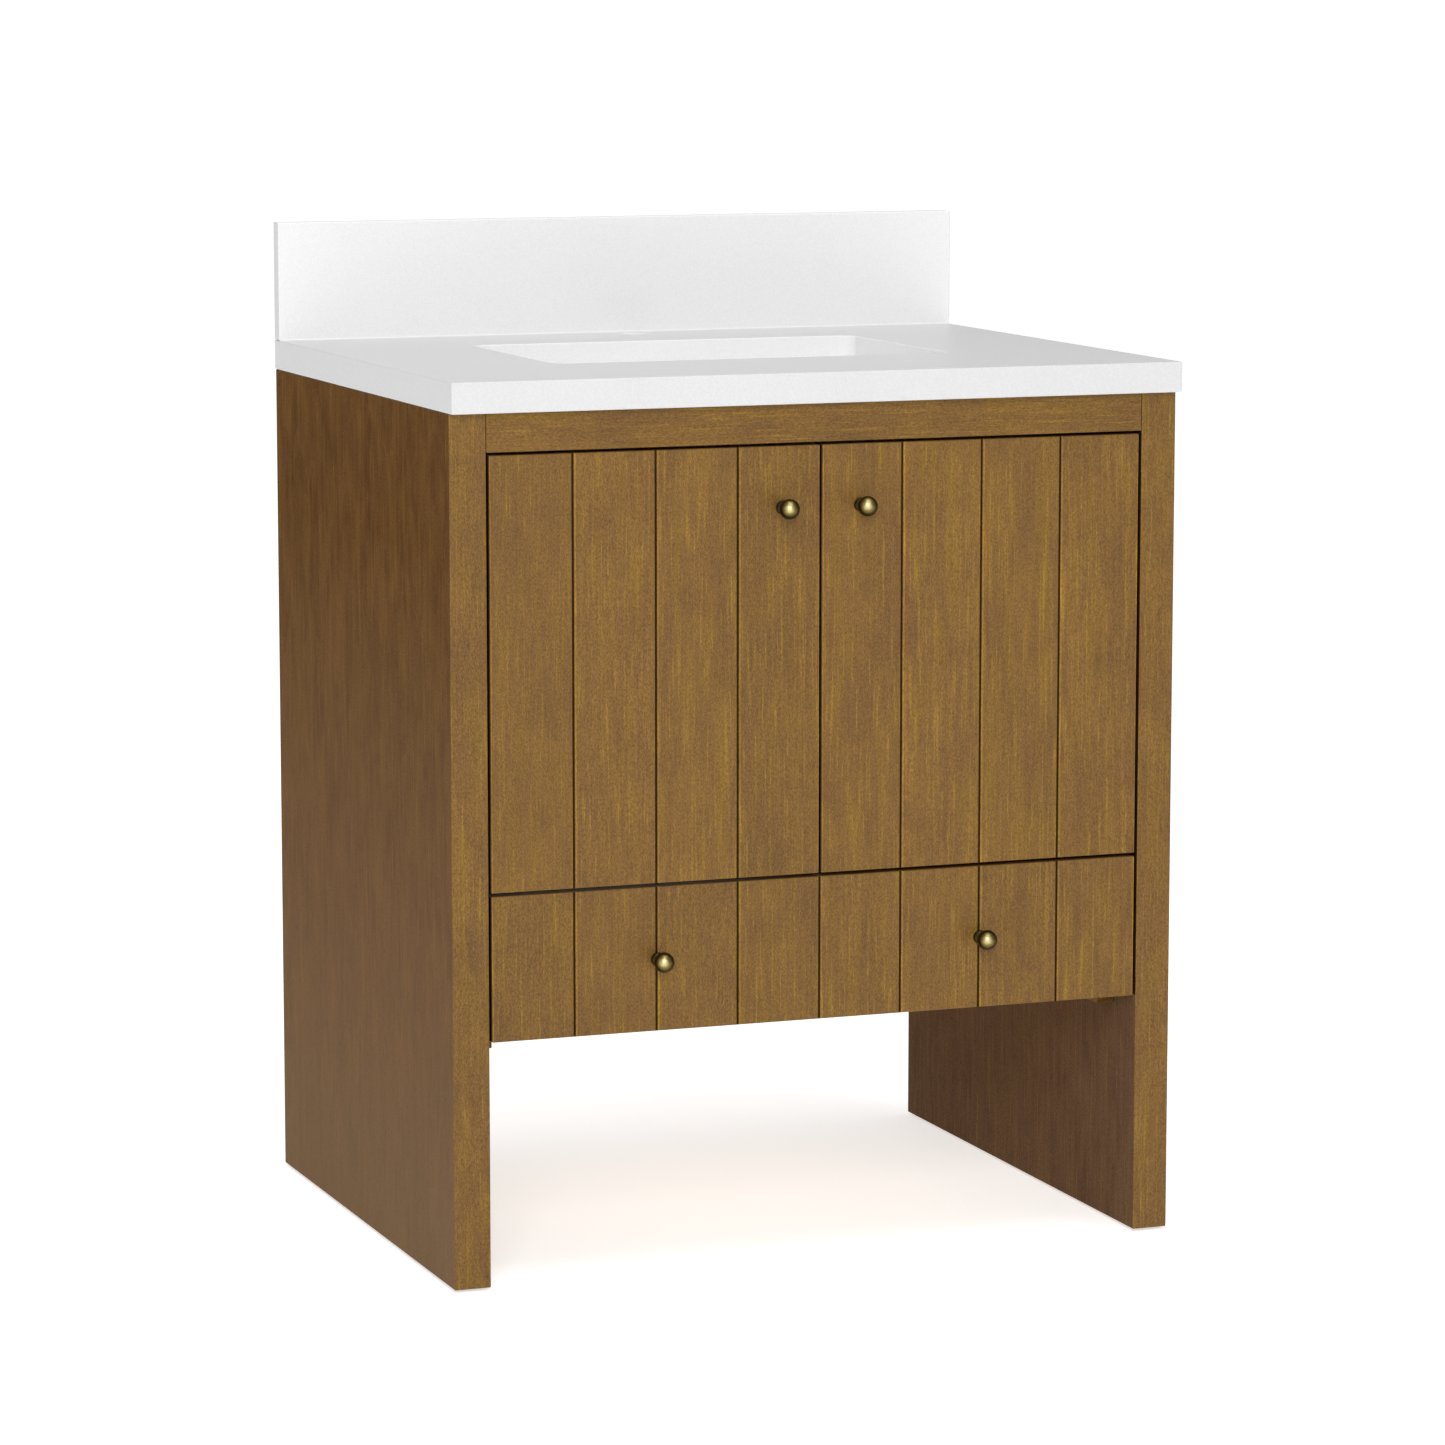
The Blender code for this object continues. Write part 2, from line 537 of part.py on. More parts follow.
def runner(side, sign, drawer_axis):
    """A cleat on the side panel, and three nested steel channels that carry one side of the drawer."""
    cleat = block(side + "_runner_cleat", (sign * CLEAT_INNER_X, sign * (INNER_X - TOUCH)),
                  (CLEAT_FRONT_Y, REAR_RAIL_Y - TOUCH), (CLEAT_LOW, CLEAT_LOW + CLEAT_HEIGHT), STAINED_WOOD)
    ease(cleat, WOOD_EASE)
    half_sheet = RUNNER_SHEET / 2
    fixed_web = TOUCH + half_sheet
    middle_web = fixed_web + RUNNER_SHEET + RUNNER_PLAY
    moving_web = RUNNER_THICKNESS - TOUCH - half_sheet
    fixed_half = RUNNER_HEIGHT / 2 - half_sheet
    step = RUNNER_SHEET + RUNNER_PLAY
    middle_axis = axis_empty(side + "_runner_axis", (sign * (CLEAT_INNER_X - middle_web), RUNNER_FRONT_Y, RUNNER_Z))
    members = (
        ("cabinet", fixed_web, moving_web - step, fixed_half, None),
        ("middle", middle_web, moving_web - step, fixed_half - step, middle_axis),
        ("drawer", moving_web, middle_web + step, fixed_half - 2 * step, drawer_axis),
    )
    for member, web, lip, half_height, parent in members:
        web_x = sign * (CLEAT_INNER_X - web)
        lip_x = sign * (CLEAT_INNER_X - lip)
        route = [(x, RUNNER_FRONT_Y, z) for x, z in (
            (lip_x, RUNNER_Z - half_height),
            (web_x, RUNNER_Z - half_height),
            (web_x, RUNNER_Z + half_height),
            (lip_x, RUNNER_Z + half_height),
        )]
        folded_sheet(side + "_runner_" + member + "_member", route, (0, RUNNER_BACK_Y - RUNNER_FRONT_Y, 0),
                     RUNNER_SHEET, ZINC_STEEL, parent)


def countertop():
    top = block("countertop", (-COUNTER_HALF_WIDTH, COUNTER_HALF_WIDTH), (COUNTER_FRONT_Y, BACK_Y),
                (COUNTER_LOW, COUNTER_TOP), WHITE_STONE)
    shape = block_shape((BASIN_WIDTH, BASIN_LENGTH, 3 * COUNTER_THICKNESS))
    upright = [edge for edge in shape.edges if abs(edge.verts[0].co.z - edge.verts[1].co.z) > COUNTER_THICKNESS]
    bmesh.ops.bevel(shape, geom=upright, offset=BASIN_CORNER_RADIUS, segments=8, profile=0.5, affect="EDGES")
    middle_z = (COUNTER_LOW + COUNTER_TOP) / 2
    cut(top, add_object("basin_cutout", shape, place=(0, BASIN_MIDDLE_Y, middle_z)))
    hole = rod("faucet_hole", FAUCET_HOLE_RADIUS, 3 * COUNTER_THICKNESS, (0, BACK_Y - FAUCET_HOLE_FROM_BACK, middle_z),
               "Z", 40)
    cut(top, hole)
    ease(top, COUNTER_EASE, 2)


def backsplash():
    slab = block("backsplash", (-COUNTER_HALF_WIDTH, COUNTER_HALF_WIDTH), (BACK_Y - BACKSPLASH_THICKNESS, BACK_Y),
                 (COUNTER_TOP + TOUCH, COUNTER_TOP + TOUCH + BACKSPLASH_HEIGHT), WHITE_STONE)
    ease(slab, COUNTER_EASE, 2)


def rounded_rectangle(width, length, radius, height, steps=8):
    """Points round a rectangle with arcs at its corners, as many whatever its size."""
    points = []
    corners = ((1, 1), (-1, 1), (-1, -1), (1, -1))
    for quarter, (sx, sy) in enumerate(corners):
        for i in range(steps + 1):
            turn = pi / 2 * (quarter + i / steps)
            x = sx * (width / 2 - radius) + radius * cos(turn)
            y = sy * (length / 2 - radius) + radius * sin(turn)
            points.append((x, y, height))
    return points


def basin():
    """An undermount bowl: flange, tapering walls, a rounded turn into the floor, and a drain hole."""
    opening = (BASIN_WIDTH + 2 * BASIN_REVEAL, BASIN_LENGTH + 2 * BASIN_REVEAL)
    radius = BASIN_CORNER_RADIUS + BASIN_REVEAL
    floor_z = -BASIN_DEPTH
    sections = [
        (BASIN_FLANGE, radius + BASIN_FLANGE, 0),
        (0, radius, 0),
    ]
    for i in range(5):
        turn = pi / 2 * i / 4
        inset = BASIN_TAPER + BASIN_FLOOR_RADIUS * (1 - cos(turn))
        sections.append((-inset, radius, floor_z + BASIN_FLOOR_RADIUS * (1 - sin(turn))))
    loops = [rounded_rectangle(opening[0] + 2 * grow, opening[1] + 2 * grow, corner, height)
             for grow, corner, height in sections]
    seat_z = floor_z - BASIN_DISH_DEPTH
    for ring_radius, height in ((BASIN_DISH_RADIUS, floor_z), (DRAIN_SEAT_RADIUS, seat_z), (DRAIN_RADIUS, seat_z)):
        loops.append(rounded_rectangle(2 * ring_radius, 2 * ring_radius, ring_radius, height))
    shape = bmesh.new()
    rings = [[shape.verts.new(point) for point in loop] for loop in loops]
    for outer, inner in zip(rings, rings[1:]):
        for i in range(len(outer)):
            j = (i + 1) % len(outer)
            shape.faces.new((outer[i], outer[j], inner[j], inner[i]))
    bowl = add_object("basin", shape, GLAZED_CERAMIC, place=(0, BASIN_MIDDLE_Y, COUNTER_LOW - TOUCH))
    shell = bowl.modifiers.new("shell", "SOLIDIFY")
    shell.thickness = BASIN_WALL
    shell.offset = -1
    shell.use_even_offset = True


def basin_clips():
    """Bent steel clips: one end against the countertop, the other under the basin's flange."""
    rim_x = BASIN_WIDTH / 2 + BASIN_REVEAL
    under_counter = COUNTER_LOW - TOUCH - CLIP_SHEET / 2
    under_flange = under_counter - TOUCH - BASIN_WALL
    step_x = rim_x + BASIN_FLANGE + CLIP_SHEET
    for side, sign in SIDES:
        for end, direction in (("front", -1), ("back", 1)):
            y = BASIN_MIDDLE_Y + direction * CLIP_SPACING / 2 - CLIP_WIDTH / 2
            route = [(sign * x, y, z) for x, z in (
                (step_x + CLIP_REACH, under_counter),
                (step_x, under_counter),
                (step_x, under_flange),
                (rim_x + BASIN_WALL + CLIP_CLEARANCE, under_flange),
            )]
            folded_sheet(end + "_" + side + "_basin_clip", route, (0, CLIP_WIDTH, 0), CLIP_SHEET, ZINC_STEEL)


for side_name, direction in SIDES:
    side_panel(side_name, direction)
rails_and_panels()
stop_block()
for side_name, direction in SIDES:
    door(side_name, direction)
drawer = drawer_front_and_box()
for side_name, direction in SIDES:
    runner(side_name, direction, drawer)
countertop()
backsplash()
basin()
basin_clips()
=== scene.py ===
from math import cos, pi, radians, sin

import bmesh
import bpy
from mathutils import Matrix, Vector


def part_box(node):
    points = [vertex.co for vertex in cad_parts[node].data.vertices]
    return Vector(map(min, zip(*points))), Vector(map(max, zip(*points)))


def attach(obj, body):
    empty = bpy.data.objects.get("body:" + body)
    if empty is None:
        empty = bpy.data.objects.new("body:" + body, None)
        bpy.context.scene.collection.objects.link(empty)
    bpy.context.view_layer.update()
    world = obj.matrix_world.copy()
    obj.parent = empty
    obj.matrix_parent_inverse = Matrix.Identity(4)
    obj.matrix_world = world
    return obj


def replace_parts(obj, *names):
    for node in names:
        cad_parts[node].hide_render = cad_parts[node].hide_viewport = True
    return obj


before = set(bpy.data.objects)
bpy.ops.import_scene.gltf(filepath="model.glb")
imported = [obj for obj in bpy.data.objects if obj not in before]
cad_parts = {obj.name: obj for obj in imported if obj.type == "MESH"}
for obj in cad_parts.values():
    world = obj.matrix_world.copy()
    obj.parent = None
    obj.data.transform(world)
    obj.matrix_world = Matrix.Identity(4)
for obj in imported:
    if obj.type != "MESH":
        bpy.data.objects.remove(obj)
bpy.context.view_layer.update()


# ---- Side panels -----------------------------------------------------------------------------------------
# Two thick boards that run to the floor and serve as the legs. Each is veneered with upright grain on its
# broad faces, lipped with solid wood along its edges, stained a warm mid-brown and sealed with a satin
# coat. Shade is painted on where the boards face the gaps round the doors and the drawer. The inside faces
# take a lighter copy of the veneer, painted to offset the shade inside, and the outer veneer a painted
# sheen from the floor, lighter towards its foot.

def node(tree, kind, inputs=None, **settings):
    """Add a shader node. An input is given a number or colour, or another node's output to follow."""
    made = tree.nodes.new("ShaderNode" + kind)
    for name, value in settings.items():
        setattr(made, name, value)
    for socket, value in (inputs or {}).items():
        if isinstance(value, bpy.types.NodeSocket):
            tree.links.new(value, made.inputs[socket])
        else:
            made.inputs[socket].default_value = value
    return made


def worked(tree, operation, *values):
    """The outcome of one sum on patterns or numbers."""
    return node(tree, "Math", dict(enumerate(values)), operation=operation).outputs[0]


def mixed(tree, share, first, second, blend="MIX"):
    """One colour laid over another, by a share from 0 to 1."""
    made = node(tree, "Mix", data_type="RGBA", blend_type=blend)
    for socket, value in ((0, share), (6, first), (7, second)):
        if isinstance(value, bpy.types.NodeSocket):
            tree.links.new(value, made.inputs[socket])
        else:
            made.inputs[socket].default_value = value if socket == 0 else (*value, 1)
    return made.outputs[2]


def spread(tree, value, low, high, to_low=0.0, to_high=1.0):
    """Stretch the part of a pattern between low and high over a new span."""
    return node(tree, "MapRange", {0: value, 1: low, 2: high, 3: to_low, 4: to_high}).outputs[0]


def noise(tree, place, scale, detail=2.0, roughness=0.5, distortion=0.0):
    settings = {"Vector": place, "Scale": scale, "Detail": detail, "Roughness": roughness,
                "Distortion": distortion}
    return node(tree, "TexNoise", settings).outputs[0]


def emboss(tree, shader, height, strength, distance):
    """Let a pattern stand up from the surface a little."""
    bump = node(tree, "Bump", {"Strength": strength, "Distance": distance, "Height": height})
    tree.links.new(bump.outputs[0], shader.inputs["Normal"])


def new_finish(name):
    """An empty material, with its nodes and its main shader."""
    material = bpy.data.materials.new(name)
    material.use_nodes = True
    return material, material.node_tree, material.node_tree.nodes["Principled BSDF"]


def stained_wood(name, grain, usual, dark, gold, streaks=1.0, flecks=0.5, roughness=0.46, gloss=0.22,
                 floor_sheen=None):
    """Stained wood with its grain along one axis. Each stave of a piece has its own run of the pattern.
    Where a floor sheen colour is given, the colour goes towards it near the floor: a painted sheen of light
    bounced from the floor."""
    material, tree, shader = new_finish(name)
    place = node(tree, "TexCoord").outputs["Object"]
    stave = node(tree, "Attribute", attribute_name="stave").outputs["Fac"]
    shift = node(tree, "VectorMath", {0: (3.17, 1.73, 5.31), "Scale": stave}, operation="SCALE").outputs[0]
    place = node(tree, "VectorMath", {0: place, 1: shift}, operation="ADD").outputs[0]

    def along(share):
        """The place, drawn out so that the pattern runs long with the grain."""
        stretch = [share if axis == grain else 1.0 for axis in "XYZ"]
        return node(tree, "VectorMath", {0: place, 1: stretch}, operation="MULTIPLY").outputs[0]

    cloud = spread(tree, noise(tree, along(0.50), 26, 6, 0.68, 0.5), 0.34, 0.66)
    glow = spread(tree, noise(tree, along(0.10), 85, 4, 0.6, 0.4), 0.48, 0.70)
    streak = spread(tree, noise(tree, along(0.032), 430, 3, 0.6), 0.34, 0.66)
    fibre = spread(tree, noise(tree, along(0.42), 1050, 2, 0.75), 0.36, 0.64)
    fleck = spread(tree, noise(tree, along(0.32), 820, 2, 0.65), 0.56, 0.69)
    colour = mixed(tree, cloud, dark, usual)
    colour = mixed(tree, worked(tree, "MULTIPLY", glow, 0.55), colour, gold)
    thread = spread(tree, streak, 0.80, 1.0, 0.0, 0.45 * streaks)
    colour = mixed(tree, thread, colour, [gold[0] * 1.25, gold[1] * 1.30, gold[2]])
    tone = node(tree, "TexWhiteNoise", {"W": stave}, noise_dimensions="1D").outputs["Value"]
    tone = spread(tree, tone, 0, 1, 0.96, 1.04)
    lines = spread(tree, streak, 0, 1, 1 - 0.10 * streaks, 1 + 0.09 * streaks)
    hairs = spread(tree, fibre, 0, 1, 1 - 0.30 * streaks, 1 + 0.30 * streaks)
    for share in (lines, hairs, tone):
        colour = node(tree, "VectorMath", {0: colour, "Scale": share}, operation="SCALE").outputs[0]
    # Painted sheen of the floor's bounce light: lighter and greyer towards the floor.
    if floor_sheen:
        height = node(tree, "SeparateXYZ", {0: place}).outputs[2]
        sheen_share = spread(tree, height, 0.0, 0.72, 0.60, 0.0)
        colour = mixed(tree, sheen_share, colour, floor_sheen)
    pore = [channel * 0.42 for channel in usual]
    deep = worked(tree, "MULTIPLY", fleck, flecks)
    colour = mixed(tree, deep, colour, pore)
    tree.links.new(colour, shader.inputs["Base Color"])
    sheen = spread(tree, streak, 0, 1, roughness + 0.07, roughness - 0.05)
    tree.links.new(sheen, shader.inputs["Roughness"])
    relief = worked(tree, "SUBTRACT", fibre, fleck)
    emboss(tree, shader, relief, 0.22, 0.00025)
    shader.inputs["Specular IOR Level"].default_value = gloss
    return material


def piece(name, shape, body, slot, *materials):
    """A finished mesh, its materials and the body it moves with. The slot argument is not used."""
    mesh = bpy.data.meshes.new(name)
    shape.to_mesh(mesh)
    shape.free()
    made = bpy.data.objects.new(name, mesh)
    bpy.context.scene.collection.objects.link(made)
    for material in materials:
        mesh.materials.append(material)
    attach(made, body)
    return made


def box_shape(low, high):
    shape = bmesh.new()
    bmesh.ops.create_cube(shape, size=1)
    bmesh.ops.scale(shape, vec=high - low, verts=shape.verts)
    bmesh.ops.translate(shape, vec=(low + high) / 2, verts=shape.verts)
    return shape


def face_out(shape):
    """Turn every face of a closed shape outwards, and let the light run smoothly from one to the next."""
    bmesh.ops.recalc_face_normals(shape, faces=shape.faces)
    if shape.calc_volume(signed=True) < 0:
        bmesh.ops.reverse_faces(shape, faces=shape.faces)
    for face in shape.faces:
        face.smooth = True
    return shape


def board_shape(low, high, ease):
    """A board with its arrises sanded round."""
    shape = box_shape(low, high)
    bmesh.ops.bevel(shape, geom=shape.edges[:], offset=ease, segments=3, profile=0.5, affect="EDGES")
    return face_out(shape)


def flat_light(made):
    """Keep the broad faces flat in the light, and only the eased edges round."""
    made.modifiers.new("flat_faces", "WEIGHTED_NORMAL").weight = 100
    return made


front_usual = (0.188, 0.096, 0.0200)
front_dark = (0.141, 0.070, 0.0185)
front_gold = (0.212, 0.117, 0.0120)
upright_wood = stained_wood("stained_wood_upright", "Z", front_usual, front_dark, front_gold)
# The outer veneer takes a painted sheen from the floor, lighter towards its foot.
veneer = stained_wood("stained_veneer_upright", "Z", (0.138, 0.068, 0.024), (0.088, 0.041, 0.016),
                      (0.150, 0.078, 0.022), streaks=0.9, flecks=0.30, roughness=0.55, gloss=0.0,
                      floor_sheen=(0.235, 0.155, 0.095))
# A lighter copy of the veneer for the inside faces, painted light to offset the shade inside the cabinet.
lit_inner_veneer = stained_wood("veneer_inside_painted_light", "Z", (0.137, 0.079, 0.044), (0.108, 0.060, 0.035),
                            (0.150, 0.088, 0.041), streaks=0.9, flecks=0.30, roughness=0.55, gloss=0.0)
# Painted shade: the wood at a fifth of its colour, for the gaps round the fronts and the groove bottoms.
gap_shade_wood = stained_wood("wood_painted_gap_shade", "Z", *[[c * 0.20 for c in colour] for colour in
                                                            (front_usual, front_dark, front_gold)], gloss=0.0)
ARRIS = 0.0012
front_low, front_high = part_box("drawer_front")
shade_back = front_high.y + 0.002
shade_aside = front_high.x + 0.010
for side in ("left", "right"):
    node_name = side + "_side_panel"
    shape = board_shape(*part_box(node_name), ARRIS)
    for place, across in (((0, shade_back, 0), (0, 1, 0)), ((0, 0, front_low.z), (0, 0, 1))):
        bmesh.ops.bisect_plane(shape, geom=shape.verts[:] + shape.edges[:] + shape.faces[:], plane_co=place,
                               plane_no=across)
    for face in shape.faces:
        middle = face.calc_center_median()
        shaded_beside_fronts = middle.y < shade_back and middle.z > front_low.z
        inside = abs(middle.x) < shade_aside
        # Painted shade on the inner faces beside the fronts; the other inner faces take the veneer painted
        # lighter.
        if abs(face.normal.x) > 0.9:
            face.material_index = 1 if not inside else 3 if shaded_beside_fronts else 2
    panel = flat_light(piece(side + "_panel_board", shape, "cabinet", "stained_wood", upright_wood, veneer,
                             lit_inner_veneer, gap_shade_wood))
    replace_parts(panel, node_name)


# ---- Top front rail and the rails, floor and stop block behind it ----------------------------------------
# Straight boards glued and screwed between the side panels, with their grain from side to side. The front
# rail shows above the doors; the others are the same stained wood.

level_wood = stained_wood("stained_wood_level", "X", front_usual, front_dark, front_gold)
NEAT_EDGE = 0.0009
PLAIN_EDGE = 0.0015
for node_name, ease in (("top_front_rail", NEAT_EDGE), ("top_rear_rail", PLAIN_EDGE),
                        ("lower_rear_rail", PLAIN_EDGE), ("cabinet_floor", NEAT_EDGE),
                        ("door_stop_block", PLAIN_EDGE)):
    made = flat_light(piece(node_name + "_board", board_shape(*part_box(node_name), ease), "cabinet",
                            "stained_wood", level_wood))
    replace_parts(made, node_name)


# ---- Back panel ------------------------------------------------------------------------------------------
# A thin sheet of plywood with an opening for the pipes, let in flush between the side panels and glued to
# the rear rails. It is only sealed, so its pale face veneer shows.

def plywood(name, grain, through):
    """Sealed plywood. Its plies show on the edges, stacked along the through axis."""
    material, tree, shader = new_finish(name)
    coordinates = node(tree, "TexCoord")
    place = coordinates.outputs["Object"]
    stretch = [0.07 if axis == grain else 1.0 for axis in "XYZ"]
    drawn = node(tree, "VectorMath", {0: place, 1: stretch}, operation="MULTIPLY").outputs[0]
    figure = noise(tree, drawn, 24, 4, 0.6, 1.6)
    rings = worked(tree, "MULTIPLY", figure, 55.0)
    rings = worked(tree, "SINE", rings)
    hair = spread(tree, noise(tree, drawn, 900, 2, 0.6), 0.35, 0.7)
    colour = mixed(tree, spread(tree, rings, -1, 1), (0.62, 0.44, 0.26), (0.53, 0.36, 0.20))
    colour = mixed(tree, spread(tree, hair, 0, 1, 0, 0.5), colour, (0.45, 0.29, 0.15))
    index = "XYZ".index(through)
    depth = node(tree, "SeparateXYZ", {0: place}).outputs[index]
    plies = worked(tree, "MULTIPLY", depth, 2 * pi / 0.0032)
    plies = spread(tree, worked(tree, "SINE", plies), -0.3, 0.3)
    edge = mixed(tree, plies, (0.60, 0.42, 0.25), (0.33, 0.20, 0.10))
    across = node(tree, "SeparateXYZ", {0: coordinates.outputs["Normal"]}).outputs[index]
    across = worked(tree, "ABSOLUTE", across)
    colour = mixed(tree, spread(tree, across, 0.5, 0.6), edge, colour)
    tree.links.new(colour, shader.inputs["Base Color"])
    tree.links.new(spread(tree, hair, 0, 1, 0.62, 0.52), shader.inputs["Roughness"])
    emboss(tree, shader, hair, 0.25, 0.0002)
    return material


def refinish(node_name, material):
    """Give a part that is already the right shape its finish."""
    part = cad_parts[node_name]
    part.data.materials.clear()
    part.data.materials.append(material)


def steel(name, colour, roughness, brushed):
    """Plated steel: faint drawing lines, cloudy plating and small scuffs."""
    material, tree, shader = new_finish(name)
    place = node(tree, "TexCoord").outputs["Object"]
    drawn = node(tree, "VectorMath", {0: place, 1: brushed}, operation="MULTIPLY").outputs[0]
    lines = noise(tree, drawn, 1400, 2, 0.6)
    cloud = noise(tree, place, 60, 3, 0.6)
    dull = [channel * 0.78 for channel in colour]
    tree.links.new(mixed(tree, spread(tree, cloud, 0.35, 0.65), dull, colour), shader.inputs["Base Color"])
    uneven = worked(tree, "ADD", lines, cloud)
    dullness = spread(tree, uneven, 0.7, 1.3, roughness - 0.07, roughness + 0.10)
    tree.links.new(dullness, shader.inputs["Roughness"])
    emboss(tree, shader, lines, 0.12, 0.00008)
    shader.inputs["Metallic"].default_value = 1.0
    return material


refinish("back_panel", plywood("plywood_back", "X", "Y"))
zinc = steel("zinc_plate", (0.62, 0.62, 0.63), 0.34, (1, 0.05, 1))


# ---- Glides under the legs -------------------------------------------------------------------------------
# Four nylon buttons, each moulded round its own nail and driven into the foot of a side panel so that the
# wood stands clear of a wet floor.

def moulded(name, colour, roughness, see_through=0.0, soiled=0.8):
    """Moulded plastic with a fine mould grain and a little dirt in it."""
    material, tree, shader = new_finish(name)
    place = node(tree, "TexCoord").outputs["Object"]
    grain = noise(tree, place, 2200, 2, 0.6)
    dirt = spread(tree, noise(tree, place, 180, 3, 0.6), 0.4, 0.7)
    tree.links.new(mixed(tree, dirt, colour, [c * soiled for c in colour]), shader.inputs["Base Color"])
    dullness = spread(tree, grain, 0.3, 0.7, roughness - 0.06, roughness + 0.06)
    tree.links.new(dullness, shader.inputs["Roughness"])
    emboss(tree, shader, grain, 0.3, 0.0001)
    shader.inputs["Transmission Weight"].default_value = see_through
    return material


nylon = moulded("dark_nylon", (0.060, 0.054, 0.048), 0.55)
for node_name in ("front_left_glide", "back_left_glide", "front_right_glide", "back_right_glide"):
    refinish(node_name, nylon)


# ---- Doors -----------------------------------------------------------------------------------------------
# Each door is a flat panel with upright grain, its face cut by V grooves into four planks. Shade is painted
# into the grooves and on the edges that face the gaps, and a highlight is painted along the lips. Two round
# seats are bored into the back for the hinge cups.

GROOVE_DEPTH = 0.0017
# Across a groove, as shares of its depth: how far from its middle, and how deep there
GROOVE = ((-1.35, 0.0), (-1.15, 0.05), (-0.85, 0.22), (-0.45, 0.60), (0.0, 1.0), (0.45, 0.60), (0.85, 0.22),
          (1.15, 0.05), (1.35, 0.0))
QUARTER = (0, pi / 6, pi / 3, pi / 2)
EDGE_LIT = 0.0035


def plank_outline(left, right, front, back, grooves, arris):
    """The panel seen from above: square at the back, with V grooves in the front and every arris softened."""
    line = [(left + arris * (1 - sin(a)), front + arris * (1 - cos(a))) for a in reversed(QUARTER)]
    for x in sorted(grooves):
        line += [(x + GROOVE_DEPTH * aside, front + GROOVE_DEPTH * deep) for aside, deep in GROOVE]
    line += [(right - arris * (1 - sin(a)), front + arris * (1 - cos(a))) for a in QUARTER]
    line.append((right, front + EDGE_LIT))
    line += [(right - arris * (1 - sin(a)), back - arris * (1 - cos(a))) for a in reversed(QUARTER)]
    line += [(left + arris * (1 - sin(a)), back - arris * (1 - cos(a))) for a in QUARTER]
    line.append((left, front + EDGE_LIT))
    return line


def plank_panel(low, high, grooves, arris):
    """The outline raised to its full height, with its top and bottom edges softened as well."""
    outline = plank_outline(low.x, high.x, low.y, high.y, grooves, arris)
    shape = bmesh.new()
    levels = [(low.z + arris * (1 - sin(turn)), arris * (1 - cos(turn))) for turn in reversed(QUARTER)]
    levels += [(low.z + high.z - z, inset) for z, inset in reversed(levels)]
    rings = []
    for z, inset in levels:
        rings.append([shape.verts.new((min(max(x, low.x + inset), high.x - inset),
                                       min(max(y, low.y + inset), high.y - inset), z)) for x, y in outline])
    for lower, upper in zip(rings, rings[1:]):
        for i in range(len(outline)):
            j = (i + 1) % len(outline)
            shape.faces.new((lower[i], lower[j], upper[j], upper[i]))
    shape.faces.new(rings[0][::-1])
    shape.faces.new(rings[-1])
    bmesh.ops.remove_doubles(shape, verts=shape.verts, dist=1e-6)
    return face_out(shape)


def name_staves(made, low, high, grooves, first):
    """Number the planks, so that each has grain of its own. Mark where shade is painted, on the groove
    bottoms and on the edges that face the gaps, and where a highlight is painted, along the lips."""
    numbers = made.data.attributes.new("stave", "FLOAT", "FACE")
    for face in made.data.polygons:
        x = face.center.x
        numbers.data[face.index].value = first + sum(x > groove for groove in grooves)
        asides = [(x - groove) / GROOVE_DEPTH for groove in grooves]
        leaning = 0.10 < abs(face.normal.x) < 0.95 and face.center.y < low.y + GROOVE_DEPTH
        shaded_groove = leaning and any(-1.2 < aside < 0.45 for aside in asides)
        lit_lip = leaning and (min(x - low.x, high.x - x) < 0.001 or any(0.45 < aside < 1.3 for aside in asides))
        shaded_gap_face = max(abs(face.normal.x), abs(face.normal.z)) > 0.9 and face.center.y > low.y + EDGE_LIT
        # Painted highlight on the lips, painted shade in the grooves and on the edges facing the gaps.
        face.material_index = 2 if lit_lip else 1 if shaded_groove or shaded_gap_face else 0


def cut_out(made, cutter_shape):
    """Cut one shape out of a piece."""
    mesh = bpy.data.meshes.new("cutter")
    cutter_shape.to_mesh(mesh)
    cutter_shape.free()
    cutter = bpy.data.objects.new("cutter", mesh)
    bpy.context.scene.collection.objects.link(cutter)
    cut = made.modifiers.new("cut", "BOOLEAN")
    cut.solver = "EXACT"
    cut.object = cutter
    evaluated = made.evaluated_get(bpy.context.evaluated_depsgraph_get())
    made.data = bpy.data.meshes.new_from_object(evaluated)
    made.modifiers.clear()
    bpy.data.objects.remove(cutter)


def bored(made, centres, radius, depth, back):
    """Bore round seats into the back of a panel."""
    drills = bmesh.new()
    for x, z in centres:
        drill = bmesh.ops.create_cone(drills, cap_ends=True, segments=64, radius1=radius, radius2=radius,
                                      depth=2 * depth)["verts"]
        bmesh.ops.rotate(drills, matrix=Matrix.Rotation(pi / 2, 3, "X"), verts=drill)
        bmesh.ops.translate(drills, vec=(x, back, z), verts=drill)
    cut_out(made, drills)


